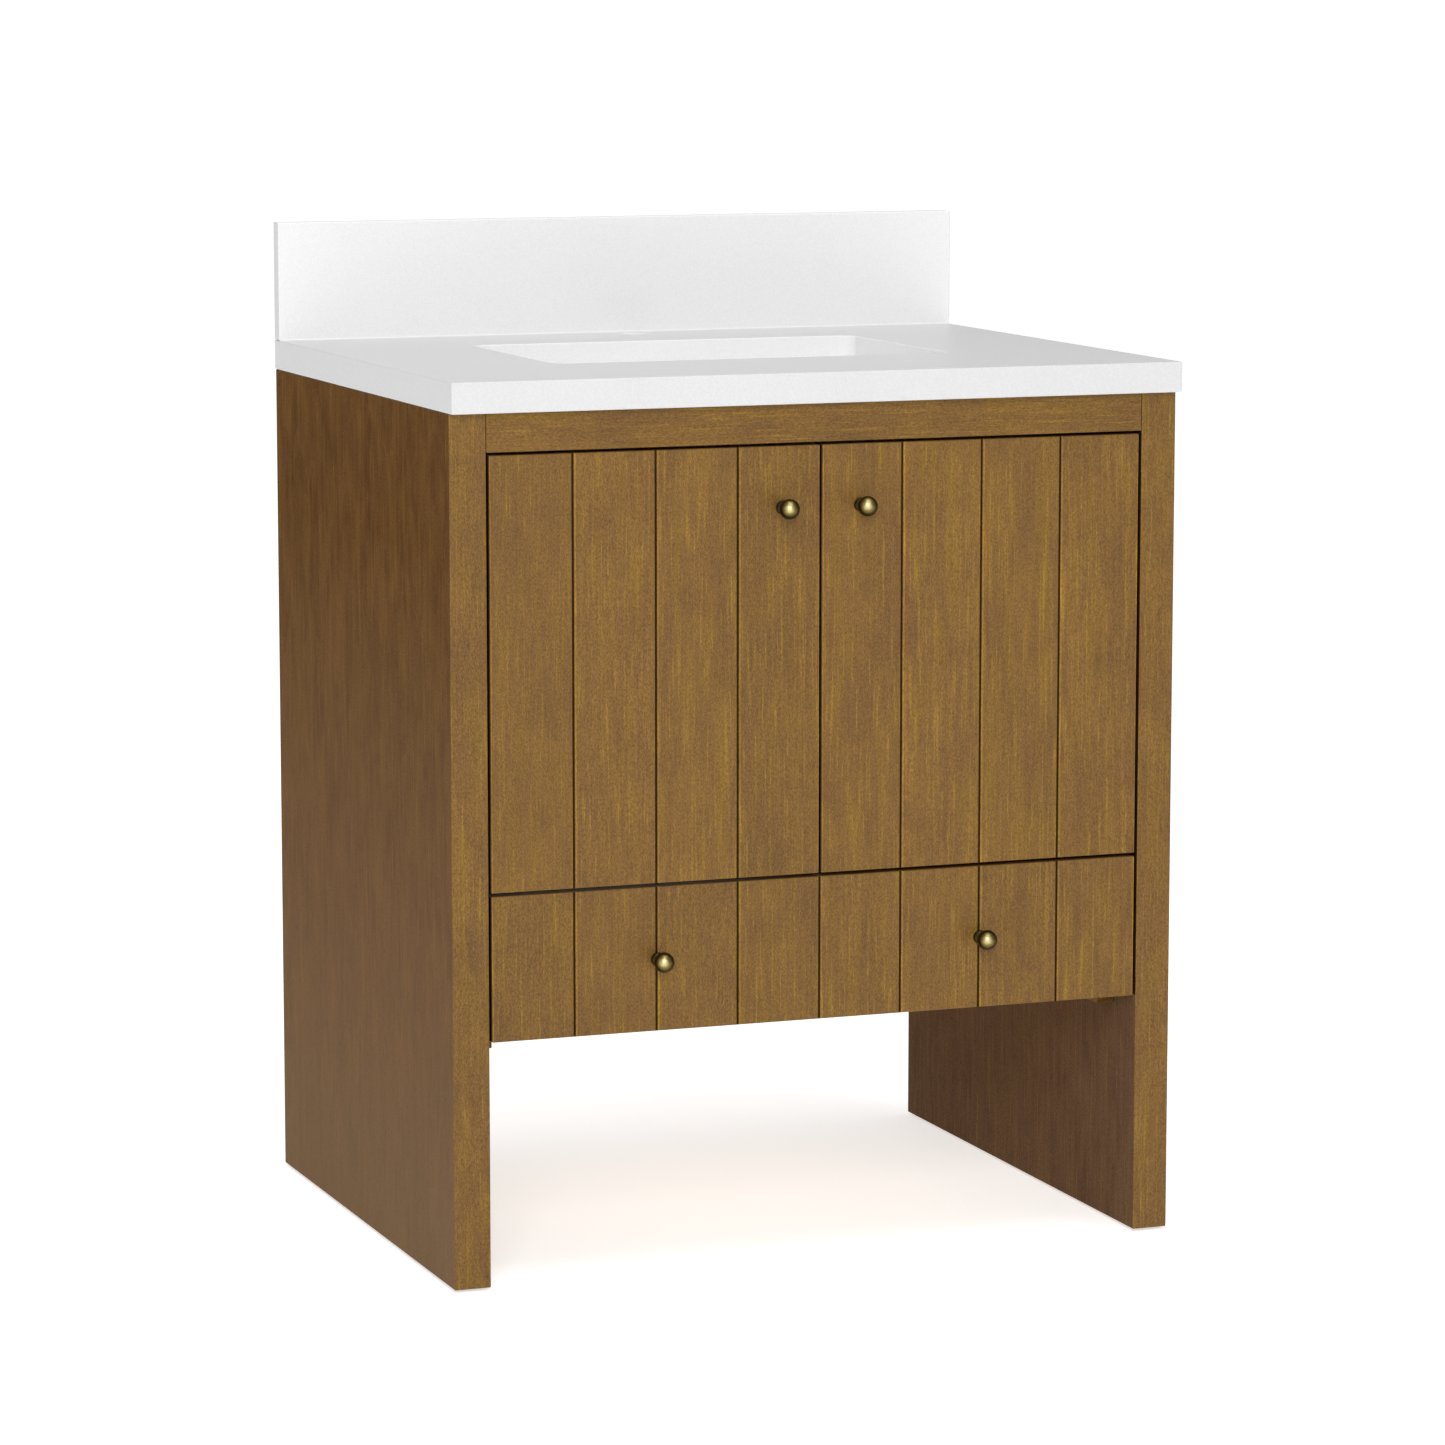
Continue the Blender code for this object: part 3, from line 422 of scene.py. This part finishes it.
# Painted highlight: the same wood half as bright again, along the groove lips and the eased side edges.
lip_highlight_wood = stained_wood("wood_painted_lip_highlight", "Z", *[[c * 1.55 for c in colour] for colour in
                                                        (front_usual, front_dark, front_gold)])
PLANKS = 4
DOOR_ARRIS = 0.0011
CUP_RING = 0.0195
SEAT_RADIUS = 0.0178
SEAT_SPARE = 0.0003
for number, side in enumerate(("left", "right")):
    low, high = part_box(side + "_door")
    pitch = (high.x - low.x) / PLANKS
    grooves = [low.x + pitch * i for i in range(1, PLANKS)]
    leaf = piece(side + "_door_leaf", plank_panel(low, high, grooves, DOOR_ARRIS), side + "_door",
                 "stained_wood", upright_wood, gap_shade_wood, lip_highlight_wood)
    seats = []
    for end in ("upper", "lower"):
        cup_low, cup_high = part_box(side + "_" + end + "_hinge_cup")
        deepest = high.y - cup_low.y
        centre_x = cup_low.x + CUP_RING if side == "left" else cup_high.x - CUP_RING
        seats.append((centre_x, (cup_low.z + cup_high.z) / 2))
    bored(leaf, seats, SEAT_RADIUS, deepest + SEAT_SPARE, high.y)
    name_staves(leaf, low, high, grooves, 1 + number * PLANKS)
    flat_light(leaf)
    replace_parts(leaf, side + "_door")


# ---- Drawer front ----------------------------------------------------------------------------------------
# One panel as wide as both doors, grooved in line with them so that the eight planks seem to run on down.
# It is screwed to the drawer box from inside, through the same holes as the knobs.

low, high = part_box("drawer_front")
half_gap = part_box("right_door")[0].x
pitch = (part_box("right_door")[1].x - half_gap) / PLANKS
grooves = [0.0]
for i in range(1, PLANKS):
    grooves += [-half_gap - pitch * i, half_gap + pitch * i]
drawer_face = piece("drawer_face", plank_panel(low, high, grooves, DOOR_ARRIS), "drawer", "stained_wood",
                    upright_wood, gap_shade_wood, lip_highlight_wood)
DRAWER_FIRST_STAVE = 20
name_staves(drawer_face, low, high, grooves, DRAWER_FIRST_STAVE)
flat_light(drawer_face)
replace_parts(drawer_face, "drawer_front")


# ---- Knobs -----------------------------------------------------------------------------------------------
# Four small solid brass balls on turned necks, each pulled tight by a machine screw from behind. The brass
# is dark, with the front light's highlight and golden glow painted on the ball where it faces that light.

def lathe_shape(profile, steps):
    """Turn a line of (radius, height) points round the upright axis, from its top down its outer side."""
    shape = bmesh.new()
    rings = []
    for radius, height in profile:
        if radius == 0:
            rings.append([shape.verts.new((0, 0, height))])
            continue
        turns = [2 * pi * i / steps for i in range(steps)]
        rings.append([shape.verts.new((radius * cos(turn), radius * sin(turn), height)) for turn in turns])
    for upper, lower in zip(rings, rings[1:]):
        for i in range(steps):
            j = (i + 1) % steps
            corners = [ring[k % len(ring)] for ring, k in ((upper, i), (lower, i), (lower, j), (upper, j))]
            shape.faces.new(list(dict.fromkeys(corners)))
    return face_out(shape)


brass, tree, shader = new_finish("aged_brass")
place = node(tree, "TexCoord").outputs["Object"]
facing = node(tree, "TexCoord").outputs["Normal"]
# The way to the front light: the painted highlight and glow lie on the faces turned towards it.
toward_front_light = (-0.34, -0.92, 0.19)
facing = node(tree, "VectorMath", {0: facing, 1: toward_front_light}, operation="DOT_PRODUCT").outputs["Value"]
blotch = noise(tree, place, 420, 4, 0.65)
fine = noise(tree, place, 2600, 2, 0.6)
facing = worked(tree, "ADD", facing, spread(tree, blotch, 0.3, 0.7, -0.03, 0.03))
out = node(tree, "SeparateXYZ", {0: place}).outputs[1]
on_ball = spread(tree, out, front_low.y - 0.010, front_low.y - 0.016)
# Painted glow and painted highlight, standing for the front light's reflection in the ball.
painted_glow = worked(tree, "MULTIPLY", spread(tree, facing, 0.62, 0.94), on_ball)
painted_highlight = worked(tree, "MULTIPLY", spread(tree, facing, 0.86, 0.99), on_ball)
colour = mixed(tree, painted_glow, (0.050, 0.036, 0.014), (0.27, 0.205, 0.062))
colour = mixed(tree, painted_highlight, colour, (0.62, 0.52, 0.26))
colour = mixed(tree, spread(tree, fine, 0.60, 0.80, 0, 0.25), colour, (0.10, 0.065, 0.025))
tree.links.new(colour, shader.inputs["Base Color"])
tree.links.new(spread(tree, blotch, 0.3, 0.7, 0.38, 0.44), shader.inputs["Roughness"])
emboss(tree, shader, fine, 0.10, 0.00006)
shader.inputs["Metallic"].default_value = 1.0

BALL = 0.010
# Radius and height of the neck and the foot, from the top down
FOOT = [(0.0041, 0.0068), (0.0045, 0.0058), (0.0058, 0.0049), (0.0066, 0.0041), (0.0068, 0.0030),
        (0.0068, 0.0006), (0.0065, 0.0), (0.0023, 0.0)]
for node_name, body in (("left_door_knob", "left_door"), ("right_door_knob", "right_door"),
                        ("drawer_left_knob", "drawer"), ("drawer_right_knob", "drawer")):
    low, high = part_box(node_name)
    height = high.y - low.y
    middle = height - BALL
    profile = [(0, height)]
    profile += [(BALL * sin(pi * i / 32), middle + BALL * cos(pi * i / 32)) for i in range(1, 28)]
    profile += [(0.0044, middle - 0.0098), (0.0041, middle - 0.0110)] + FOOT
    shape = lathe_shape(profile, 48)
    bmesh.ops.rotate(shape, matrix=Matrix.Rotation(pi / 2, 3, "X"), verts=shape.verts)
    bmesh.ops.translate(shape, vec=((low.x + high.x) / 2, high.y, (low.z + high.z) / 2), verts=shape.verts)
    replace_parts(piece(node_name + "_turned", shape, body, "aged_brass", brass), node_name)
    refinish(node_name + "_screw", zinc)


# ---- Countertop ------------------------------------------------------------------------------------------
# A slab of white engineered stone, cut out for the basin and bored once for the faucet, with its edges
# eased. The walls of the cut-outs are painted lighter, to offset the shade that falls in them. Its own
# weight and a bead of silicone hold it down.

def white_stone(name, tone, roughness):
    """Quartz and resin cast white: the faintest clouds, and fine crushed grains."""
    material, tree, shader = new_finish(name)
    place = node(tree, "TexCoord").outputs["Object"]
    cloud = noise(tree, place, 14, 4, 0.6)
    grain = node(tree, "TexVoronoi", {"Vector": place, "Scale": 900.0}).outputs["Color"]
    colour = mixed(tree, spread(tree, cloud, 0.3, 0.7), [tone - 0.006] * 3, [tone + 0.006] * 3)
    colour = mixed(tree, 0.03, colour, worked(tree, "GREATER_THAN", grain, 0.5))
    tree.links.new(colour, shader.inputs["Base Color"])
    tree.links.new(spread(tree, cloud, 0.3, 0.7, roughness, roughness + 0.04), shader.inputs["Roughness"])
    emboss(tree, shader, grain, 0.05, 0.00003)
    shader.inputs["Specular IOR Level"].default_value = 0.28
    return material


def round_box(middle, width, length, radius, steps=10):
    """Points round a rectangle with arcs at its corners."""
    points = []
    for quarter, (sx, sy) in enumerate(((1, 1), (-1, 1), (-1, -1), (1, -1))):
        for i in range(steps + 1):
            turn = pi / 2 * (quarter + i / steps)
            points.append((middle[0] + sx * (width / 2 - radius) + radius * cos(turn),
                           middle[1] + sy * (length / 2 - radius) + radius * sin(turn)))
    return points


def slab_shape(outline, holes, low_z, high_z, ease):
    """A flat slab with holes through it and every edge rounded over."""
    curve = bpy.data.curves.new("slab_outline", "CURVE")
    curve.dimensions = "2D"
    curve.fill_mode = "BOTH"
    curve.extrude = (high_z - low_z) / 2 - ease
    curve.bevel_depth = ease
    curve.bevel_resolution = 3
    curve.offset = -ease
    for points in (outline, *holes):
        line = curve.splines.new("POLY")
        line.points.add(len(points) - 1)
        for point, (x, y) in zip(line.points, points):
            point.co = (x, y, 0, 1)
        line.use_cyclic_u = True
    former = bpy.data.objects.new("slab_outline", curve)
    bpy.context.scene.collection.objects.link(former)
    mesh = bpy.data.meshes.new_from_object(former.evaluated_get(bpy.context.evaluated_depsgraph_get()))
    shape = bmesh.new()
    shape.from_mesh(mesh)
    bpy.data.objects.remove(former)
    bpy.data.meshes.remove(mesh)
    bmesh.ops.translate(shape, vec=(0, 0, (low_z + high_z) / 2), verts=shape.verts)
    bmesh.ops.remove_doubles(shape, verts=shape.verts, dist=1e-5)
    return face_out(shape)


stone = white_stone("white_stone_slab", 0.605, 0.40)
# A lighter copy of the stone, painted light on the cut-out walls where shade falls.
lit_cutout_stone = white_stone("white_stone_cutout_painted_light", 0.820, 0.40)
low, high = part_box("countertop")
BOWL_SIDE_DECK = 0.168
BOWL_FRONT_DECK = 0.1905
BOWL_BACK_DECK = 0.1465
BOWL_CORNER = 0.016
FAUCET_FROM_BACK = 0.054
FAUCET_HOLE = 0.0175
SLAB_CORNER = 0.0012
SLAB_EASE = 0.0014
bowl_width = high.x - low.x - 2 * BOWL_SIDE_DECK
bowl_length = high.y - low.y - BOWL_FRONT_DECK - BOWL_BACK_DECK
bowl_middle = (0.0, (low.y + BOWL_FRONT_DECK + high.y - BOWL_BACK_DECK) / 2)
cutout = round_box(bowl_middle, bowl_width, bowl_length, BOWL_CORNER)
tap_y = high.y - FAUCET_FROM_BACK
tap_hole = [(FAUCET_HOLE * cos(turn), tap_y + FAUCET_HOLE * sin(turn))
            for turn in [2 * pi * i / 64 for i in range(64)]]
outside = round_box((0.0, (low.y + high.y) / 2), high.x - low.x, high.y - low.y, SLAB_CORNER, 3)
shape = slab_shape(outside, [cutout, tap_hole], low.z, high.z, SLAB_EASE)
for face in shape.faces:
    middle = face.calc_center_median()
    inside = abs(middle.x) < bowl_width / 2 + 0.003 and low.y + 0.05 < middle.y < high.y - 0.03
    face.material_index = 1 if inside and abs(face.normal.z) < 0.6 else 0
slab = flat_light(piece("countertop_slab", shape, "cabinet", "white_stone", stone, lit_cutout_stone))
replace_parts(slab, "countertop")


# ---- Backsplash ------------------------------------------------------------------------------------------
# A strip of the same stone, standing on the back edge of the countertop. It is bonded to it and to the wall
# with silicone, and a small bead is tooled along its foot. Its faces take a lighter copy of the stone,
# painted light; its sawn ends keep the slab's darker tone.

low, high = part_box("backsplash")
shape = board_shape(low, high, SLAB_EASE)
for face in shape.faces:
    face.material_index = 1 if abs(face.normal.x) > 0.7 else 0
# A lighter copy of the stone, painted light on the strip's faces; the ends keep the slab's darker tone.
lit_strip_stone = white_stone("white_stone_strip_painted_light", 0.765, 0.58)
upstand = flat_light(piece("backsplash_strip", shape, "cabinet", "white_stone", lit_strip_stone, stone))
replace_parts(upstand, "backsplash")
silicone = moulded("white_silicone", (0.72, 0.72, 0.72), 0.38, soiled=0.98)
BEAD = 0.0016
BEAD_SUNK = 0.0003
BEAD_SHORT = 0.001
shape = bmesh.new()
section = [(low.y, low.z - BEAD_SUNK), (low.y, low.z + BEAD)]
section += [(low.y - BEAD * (1 - cos(a)), low.z + BEAD * (1 - sin(a))) for a in QUARTER[1:]]
section.append((low.y - BEAD, low.z - BEAD_SUNK))
ends = [[shape.verts.new((x, y, z)) for y, z in section] for x in (low.x + BEAD_SHORT, high.x - BEAD_SHORT)]
for i in range(len(section)):
    j = (i + 1) % len(section)
    shape.faces.new((ends[0][i], ends[0][j], ends[1][j], ends[1][i]))
shape.faces.new(ends[0][::-1])
shape.faces.new(ends[1])
bmesh.ops.recalc_face_normals(shape, faces=shape.faces)
piece("backsplash_bead", shape, "cabinet", "clear_pad", silicone)


# ---- Basin -----------------------------------------------------------------------------------------------
# A rectangular bowl of glazed white china under the countertop, its flange bedded in silicone. The walls
# lean in a little, turn into the floor on a soft radius, and the floor falls to the drain hole.

def glaze(name):
    """White glaze: very smooth, with the slight ripple that firing leaves."""
    material, tree, shader = new_finish(name)
    place = node(tree, "TexCoord").outputs["Object"]
    ripple = noise(tree, place, 55, 3, 0.5)
    tree.links.new(mixed(tree, spread(tree, ripple, 0.3, 0.7), (0.900, 0.900, 0.898), (0.920, 0.920, 0.919)),
                   shader.inputs["Base Color"])
    tree.links.new(spread(tree, ripple, 0.3, 0.7, 0.07, 0.12), shader.inputs["Roughness"])
    emboss(tree, shader, ripple, 0.06, 0.0004)
    return material


china = glaze("glazed_ceramic")
low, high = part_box("basin")
CHINA_WALL = 0.008
FLANGE = 0.020
REVEAL = 0.001
DEPTH = 0.135
TAPER = 0.016
FLOOR_TURN = 0.030
DISH = 0.046
DISH_DEPTH = 0.005
SEAT = 0.034
DRAIN = 0.0225
rim = (bowl_width + 2 * REVEAL, bowl_length + 2 * REVEAL)
corner = BOWL_CORNER + REVEAL
sections = [(FLANGE, corner + FLANGE, 0.0), (0.003, corner + 0.003, 0.0), (0.0015, corner, -0.0006),
            (0.0, corner, -0.0026)]
for i in range(1, 4):
    share = i / 4
    sections.append((-TAPER * share, corner + 0.004 * share, -(DEPTH - FLOOR_TURN) * share))
for i in range(9):
    turn = pi / 2 * i / 8
    sections.append((-TAPER - FLOOR_TURN * (1 - cos(turn)), corner + 0.006 + 0.010 * i / 8,
                     -DEPTH + FLOOR_TURN * (1 - sin(turn))))
loops = [[(x, y, high.z + z) for x, y in round_box(bowl_middle, rim[0] + 2 * grow, rim[1] + 2 * grow, radius)]
         for grow, radius, z in sections]
for radius, z in ((DISH + 0.006, 0.0), (DISH - 0.002, -0.0012), (SEAT + 0.002, -DISH_DEPTH + 0.0008),
                  (SEAT - 0.002, -DISH_DEPTH), (DRAIN + 0.001, -DISH_DEPTH), (DRAIN, -DISH_DEPTH - 0.001)):
    circle = round_box(bowl_middle, 2 * radius, 2 * radius, radius)
    loops.append([(x, y, high.z - DEPTH + z) for x, y in circle])
shape = bmesh.new()
rings = [[shape.verts.new(point) for point in loop] for loop in loops]
for outer, inner in zip(rings, rings[1:]):
    for i in range(len(outer)):
        j = (i + 1) % len(outer)
        shape.faces.new((outer[i], outer[j], inner[j], inner[i])).smooth = True
bowl = piece("basin_bowl", shape, "cabinet", "glazed_ceramic", china)
shell = bowl.modifiers.new("wall", "SOLIDIFY")
shell.thickness = CHINA_WALL
shell.offset = -1
shell.use_even_offset = True
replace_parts(bowl, "basin")
for node_name in ("front_left_basin_clip", "back_left_basin_clip", "front_right_basin_clip",
                  "back_right_basin_clip"):
    refinish(node_name, zinc)


# ---- Hinges ----------------------------------------------------------------------------------------------
# Concealed hinges, two to a door: a pressed cup let into the door, and a cranked arm on a plate screwed to
# the side panel. All of it is nickel-plated steel, and every screw has a cross in its head.

nickel = steel("nickel_plate", (0.60, 0.57, 0.53), 0.27, (1, 1, 0.05))
EAR_ASIDE = 0.0055
EAR_SCREW_SPACING = 0.042
WING_SCREW_SPACING = 0.036
WING = 0.002
ARM_FACE = 0.0086
ARM_SCREW_SUNK = 0.0003
ARM_SCREW_ASIDE = 0.008
CUP_SCREW, PLATE_SCREW, ARM_SCREW = 0.0034, 0.0036, 0.0030


def cross_screws(name, places, out, radius, body, slot, material):
    """Pan-headed screws driven home, with a cross cut into each head."""
    height = radius * 0.42
    profile = [(0, height)] + [(radius * sin(turn), height * cos(turn)) for turn in (0.45, 0.85, 1.2, pi / 2)]
    profile.append((0, 0))
    aim = Vector(out).to_track_quat("Z", "Y").to_matrix().to_4x4()
    heads, crosses = bmesh.new(), bmesh.new()
    long, short = 0.58 * radius, 0.12 * radius
    outline = [(long, short), (short, short), (short, long)]
    outline += [(-y, x) for x, y in outline]
    outline += [(-x, -y) for x, y in outline]
    for i, place in enumerate(places):
        turned = Matrix.Translation(place) @ aim @ Matrix.Rotation(0.7 * i, 4, "Z")
        blade = bmesh.new()
        ends = [[blade.verts.new((x, y, z)) for x, y in outline] for z in (0.5 * height, 1.5 * height)]
        for j in range(len(outline)):
            k = (j + 1) % len(outline)
            blade.faces.new((ends[0][j], ends[0][k], ends[1][k], ends[1][j]))
        blade.faces.new(ends[0][::-1])
        blade.faces.new(ends[1])
        for whole, part in ((heads, lathe_shape(profile, 24)), (crosses, face_out(blade))):
            part.transform(turned)
            mesh = bpy.data.meshes.new("part")
            part.to_mesh(mesh)
            part.free()
            whole.from_mesh(mesh)
            bpy.data.meshes.remove(mesh)
    cut_out(piece(name, heads, body, slot, material), crosses)


for side, inward in (("left", 1), ("right", -1)):
    for end in ("upper", "lower"):
        name = side + "_" + end + "_hinge_"
        for part in ("cup", "plate", "arm"):
            refinish(name + part, nickel)
        low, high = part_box(name + "cup")
        z = (low.z + high.z) / 2
        x = (low.x if side == "left" else high.x) + inward * (CUP_RING + EAR_ASIDE)
        cross_screws(name + "cup_screws", [(x, high.y, z + EAR_SCREW_SPACING / 2),
                                           (x, high.y, z - EAR_SCREW_SPACING / 2)],
                     (0, 1, 0), CUP_SCREW, side + "_door", "nickel_steel", nickel)
        low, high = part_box(name + "plate")
        x = low.x if side == "left" else high.x
        y = (low.y + high.y) / 2
        cross_screws(name + "plate_screws", [(x + inward * WING, y, z + WING_SCREW_SPACING / 2),
                                             (x + inward * WING, y, z - WING_SCREW_SPACING / 2)],
                     (inward, 0, 0), PLATE_SCREW, "cabinet", "nickel_steel", nickel)
        x += inward * (ARM_FACE - ARM_SCREW_SUNK)
        cross_screws(name + "arm_screws", [(x, y - ARM_SCREW_ASIDE, z), (x, y + ARM_SCREW_ASIDE, z)],
                     (inward, 0, 0), ARM_SCREW, "cabinet", "nickel_steel", nickel)


# ---- Door bumpers ----------------------------------------------------------------------------------------
# A small pad of soft clear plastic stuck to the back of each door. It lands on the stop block, so that the
# door closes without a knock.

pad = moulded("clear_pad", (0.72, 0.72, 0.70), 0.35, 0.5)
for side in ("left", "right"):
    refinish(side + "_door_bumper", pad)


# ---- Drawer box ------------------------------------------------------------------------------------------
# Four plywood walls, grooved near the bottom to hold a thin plywood base, glued and nailed at the corners.
# The nail heads show on the outer faces of the sides.

wall_ply = plywood("plywood_wall_along", "Y", "X")
end_ply = plywood("plywood_wall_across", "X", "Y")
base_ply = plywood("plywood_base", "X", "Z")
for node_name, material in (("drawer_box_left_side", wall_ply), ("drawer_box_right_side", wall_ply),
                            ("drawer_box_front", end_ply), ("drawer_box_back", end_ply),
                            ("drawer_box_bottom", base_ply)):
    refinish(node_name, material)
NAIL = 0.0014
NAIL_FROM_END = 0.0065
shape = bmesh.new()
for side, sign in (("left", -1), ("right", 1)):
    low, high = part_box("drawer_box_" + side + "_side")
    outer_x = low.x if sign < 0 else high.x
    for y in (low.y + NAIL_FROM_END, high.y - NAIL_FROM_END):
        for z in (low.z + 0.012, high.z - 0.022, high.z - 0.010):
            head = bmesh.ops.create_cone(shape, cap_ends=True, segments=16, radius1=NAIL, radius2=NAIL * 0.8,
                                         depth=0.0004)["verts"]
            bmesh.ops.rotate(shape, matrix=Matrix.Rotation(sign * pi / 2, 3, "Y"), verts=head)
            bmesh.ops.translate(shape, vec=(outer_x + sign * 0.0001, y, z), verts=head)
piece("drawer_box_nails", shape, "drawer", "zinc_steel", zinc)


# ---- Runners ---------------------------------------------------------------------------------------------
# On each side a wooden cleat packs out a steel slide of three nested channels, which lets the drawer come
# out over its full travel. The cleats are stained like the cabinet; the channels are zinc-plated.

cleat_wood = stained_wood("stained_wood_cleats", "Y", front_usual, front_dark, front_gold, gloss=0.02)
for side in ("left", "right"):
    node_name = side + "_runner_cleat"
    cleat = flat_light(piece(node_name + "_board", board_shape(*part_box(node_name), ARRIS), "cabinet",
                             "stained_wood", cleat_wood))
    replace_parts(cleat, node_name)
    for member in ("cabinet", "middle", "drawer"):
        refinish(side + "_runner_" + member + "_member", zinc)


# ---- Floor, light and camera -----------------------------------------------------------------------------
# A plain pale floor under soft studio light, mostly from the front and from above, with weak lights at the
# left and behind. The floor also glows, more away from the cabinet, so that it reads white and lights the
# cabinet from below. The camera looks a little down and has no shift, so every other view stays framed.

scene = bpy.context.scene
floor_shape = bmesh.new()
bmesh.ops.create_grid(floor_shape, x_segments=1, y_segments=1, size=400)
floor_mesh = bpy.data.meshes.new("studio_floor")
floor_shape.to_mesh(floor_mesh)
floor_shape.free()
floor = bpy.data.objects.new("studio_floor", floor_mesh)
scene.collection.objects.link(floor)
paper, tree, shader = new_finish("pale_floor_glowing")
place = node(tree, "TexCoord").outputs["Object"]
mottle = noise(tree, place, 3, 3, 0.5)
tree.links.new(mixed(tree, mottle, (0.80, 0.80, 0.80), (0.82, 0.82, 0.82)), shader.inputs["Base Color"])
shader.inputs["Roughness"].default_value = 0.9
shader.inputs["Specular IOR Level"].default_value = 0.1
# The floor glows: painted light that lifts the shade under the cabinet and lights it from below.
shader.inputs["Emission Color"].default_value = (1, 1, 1, 1)
reach = node(tree, "VectorMath", {0: place}, operation="LENGTH").outputs["Value"]
tree.links.new(spread(tree, reach, 1.2, 6.0, 0.57, 0.68), shader.inputs["Emission Strength"])
floor_mesh.materials.append(paper)

world = bpy.data.worlds.new("studio")
scene.world = world
world.use_nodes = True
world.node_tree.nodes["Background"].inputs[0].default_value = (1, 1, 1, 1)
world.node_tree.nodes["Background"].inputs[1].default_value = 0.45

MIDDLE = Vector((0, 0, 0.5))


def soft_light(name, azimuth, elevation, distance, size, power):
    """A square light aimed at the middle of the cabinet."""
    lamp = bpy.data.lights.new(name, "AREA")
    lamp.size = size
    lamp.energy = power
    made = bpy.data.objects.new(name, lamp)
    turn, rise = radians(azimuth), radians(elevation)
    away = Vector((sin(turn) * cos(rise), -cos(turn) * cos(rise), sin(rise)))
    made.location = MIDDLE + away * distance
    made.rotation_euler = away.to_track_quat("Z", "Y").to_euler()
    made.visible_camera = False
    scene.collection.objects.link(made)


soft_light("front_light", -20, 24, 7.0, 2.6, 207)
soft_light("left_light", -85, 20, 6.0, 3.0, 20)
soft_light("top_light", 10, 78, 5.0, 3.0, 110)
soft_light("back_light", 170, 35, 6.0, 3.0, 12)

CAMERA_DOWN = 8.167
CAMERA_TURN = 20.584
eye = bpy.data.cameras.new("camera")
eye.sensor_width = 36.0
eye.lens = 133.42
eye.clip_end = 2000.0
camera = bpy.data.objects.new("camera", eye)
camera.location = (-1.91746, -5.11545, 1.28671)
camera.rotation_euler = (pi / 2 - radians(CAMERA_DOWN), 0, -radians(CAMERA_TURN))
scene.collection.objects.link(camera)
scene.camera = camera
scene.view_settings.view_transform = "Standard"
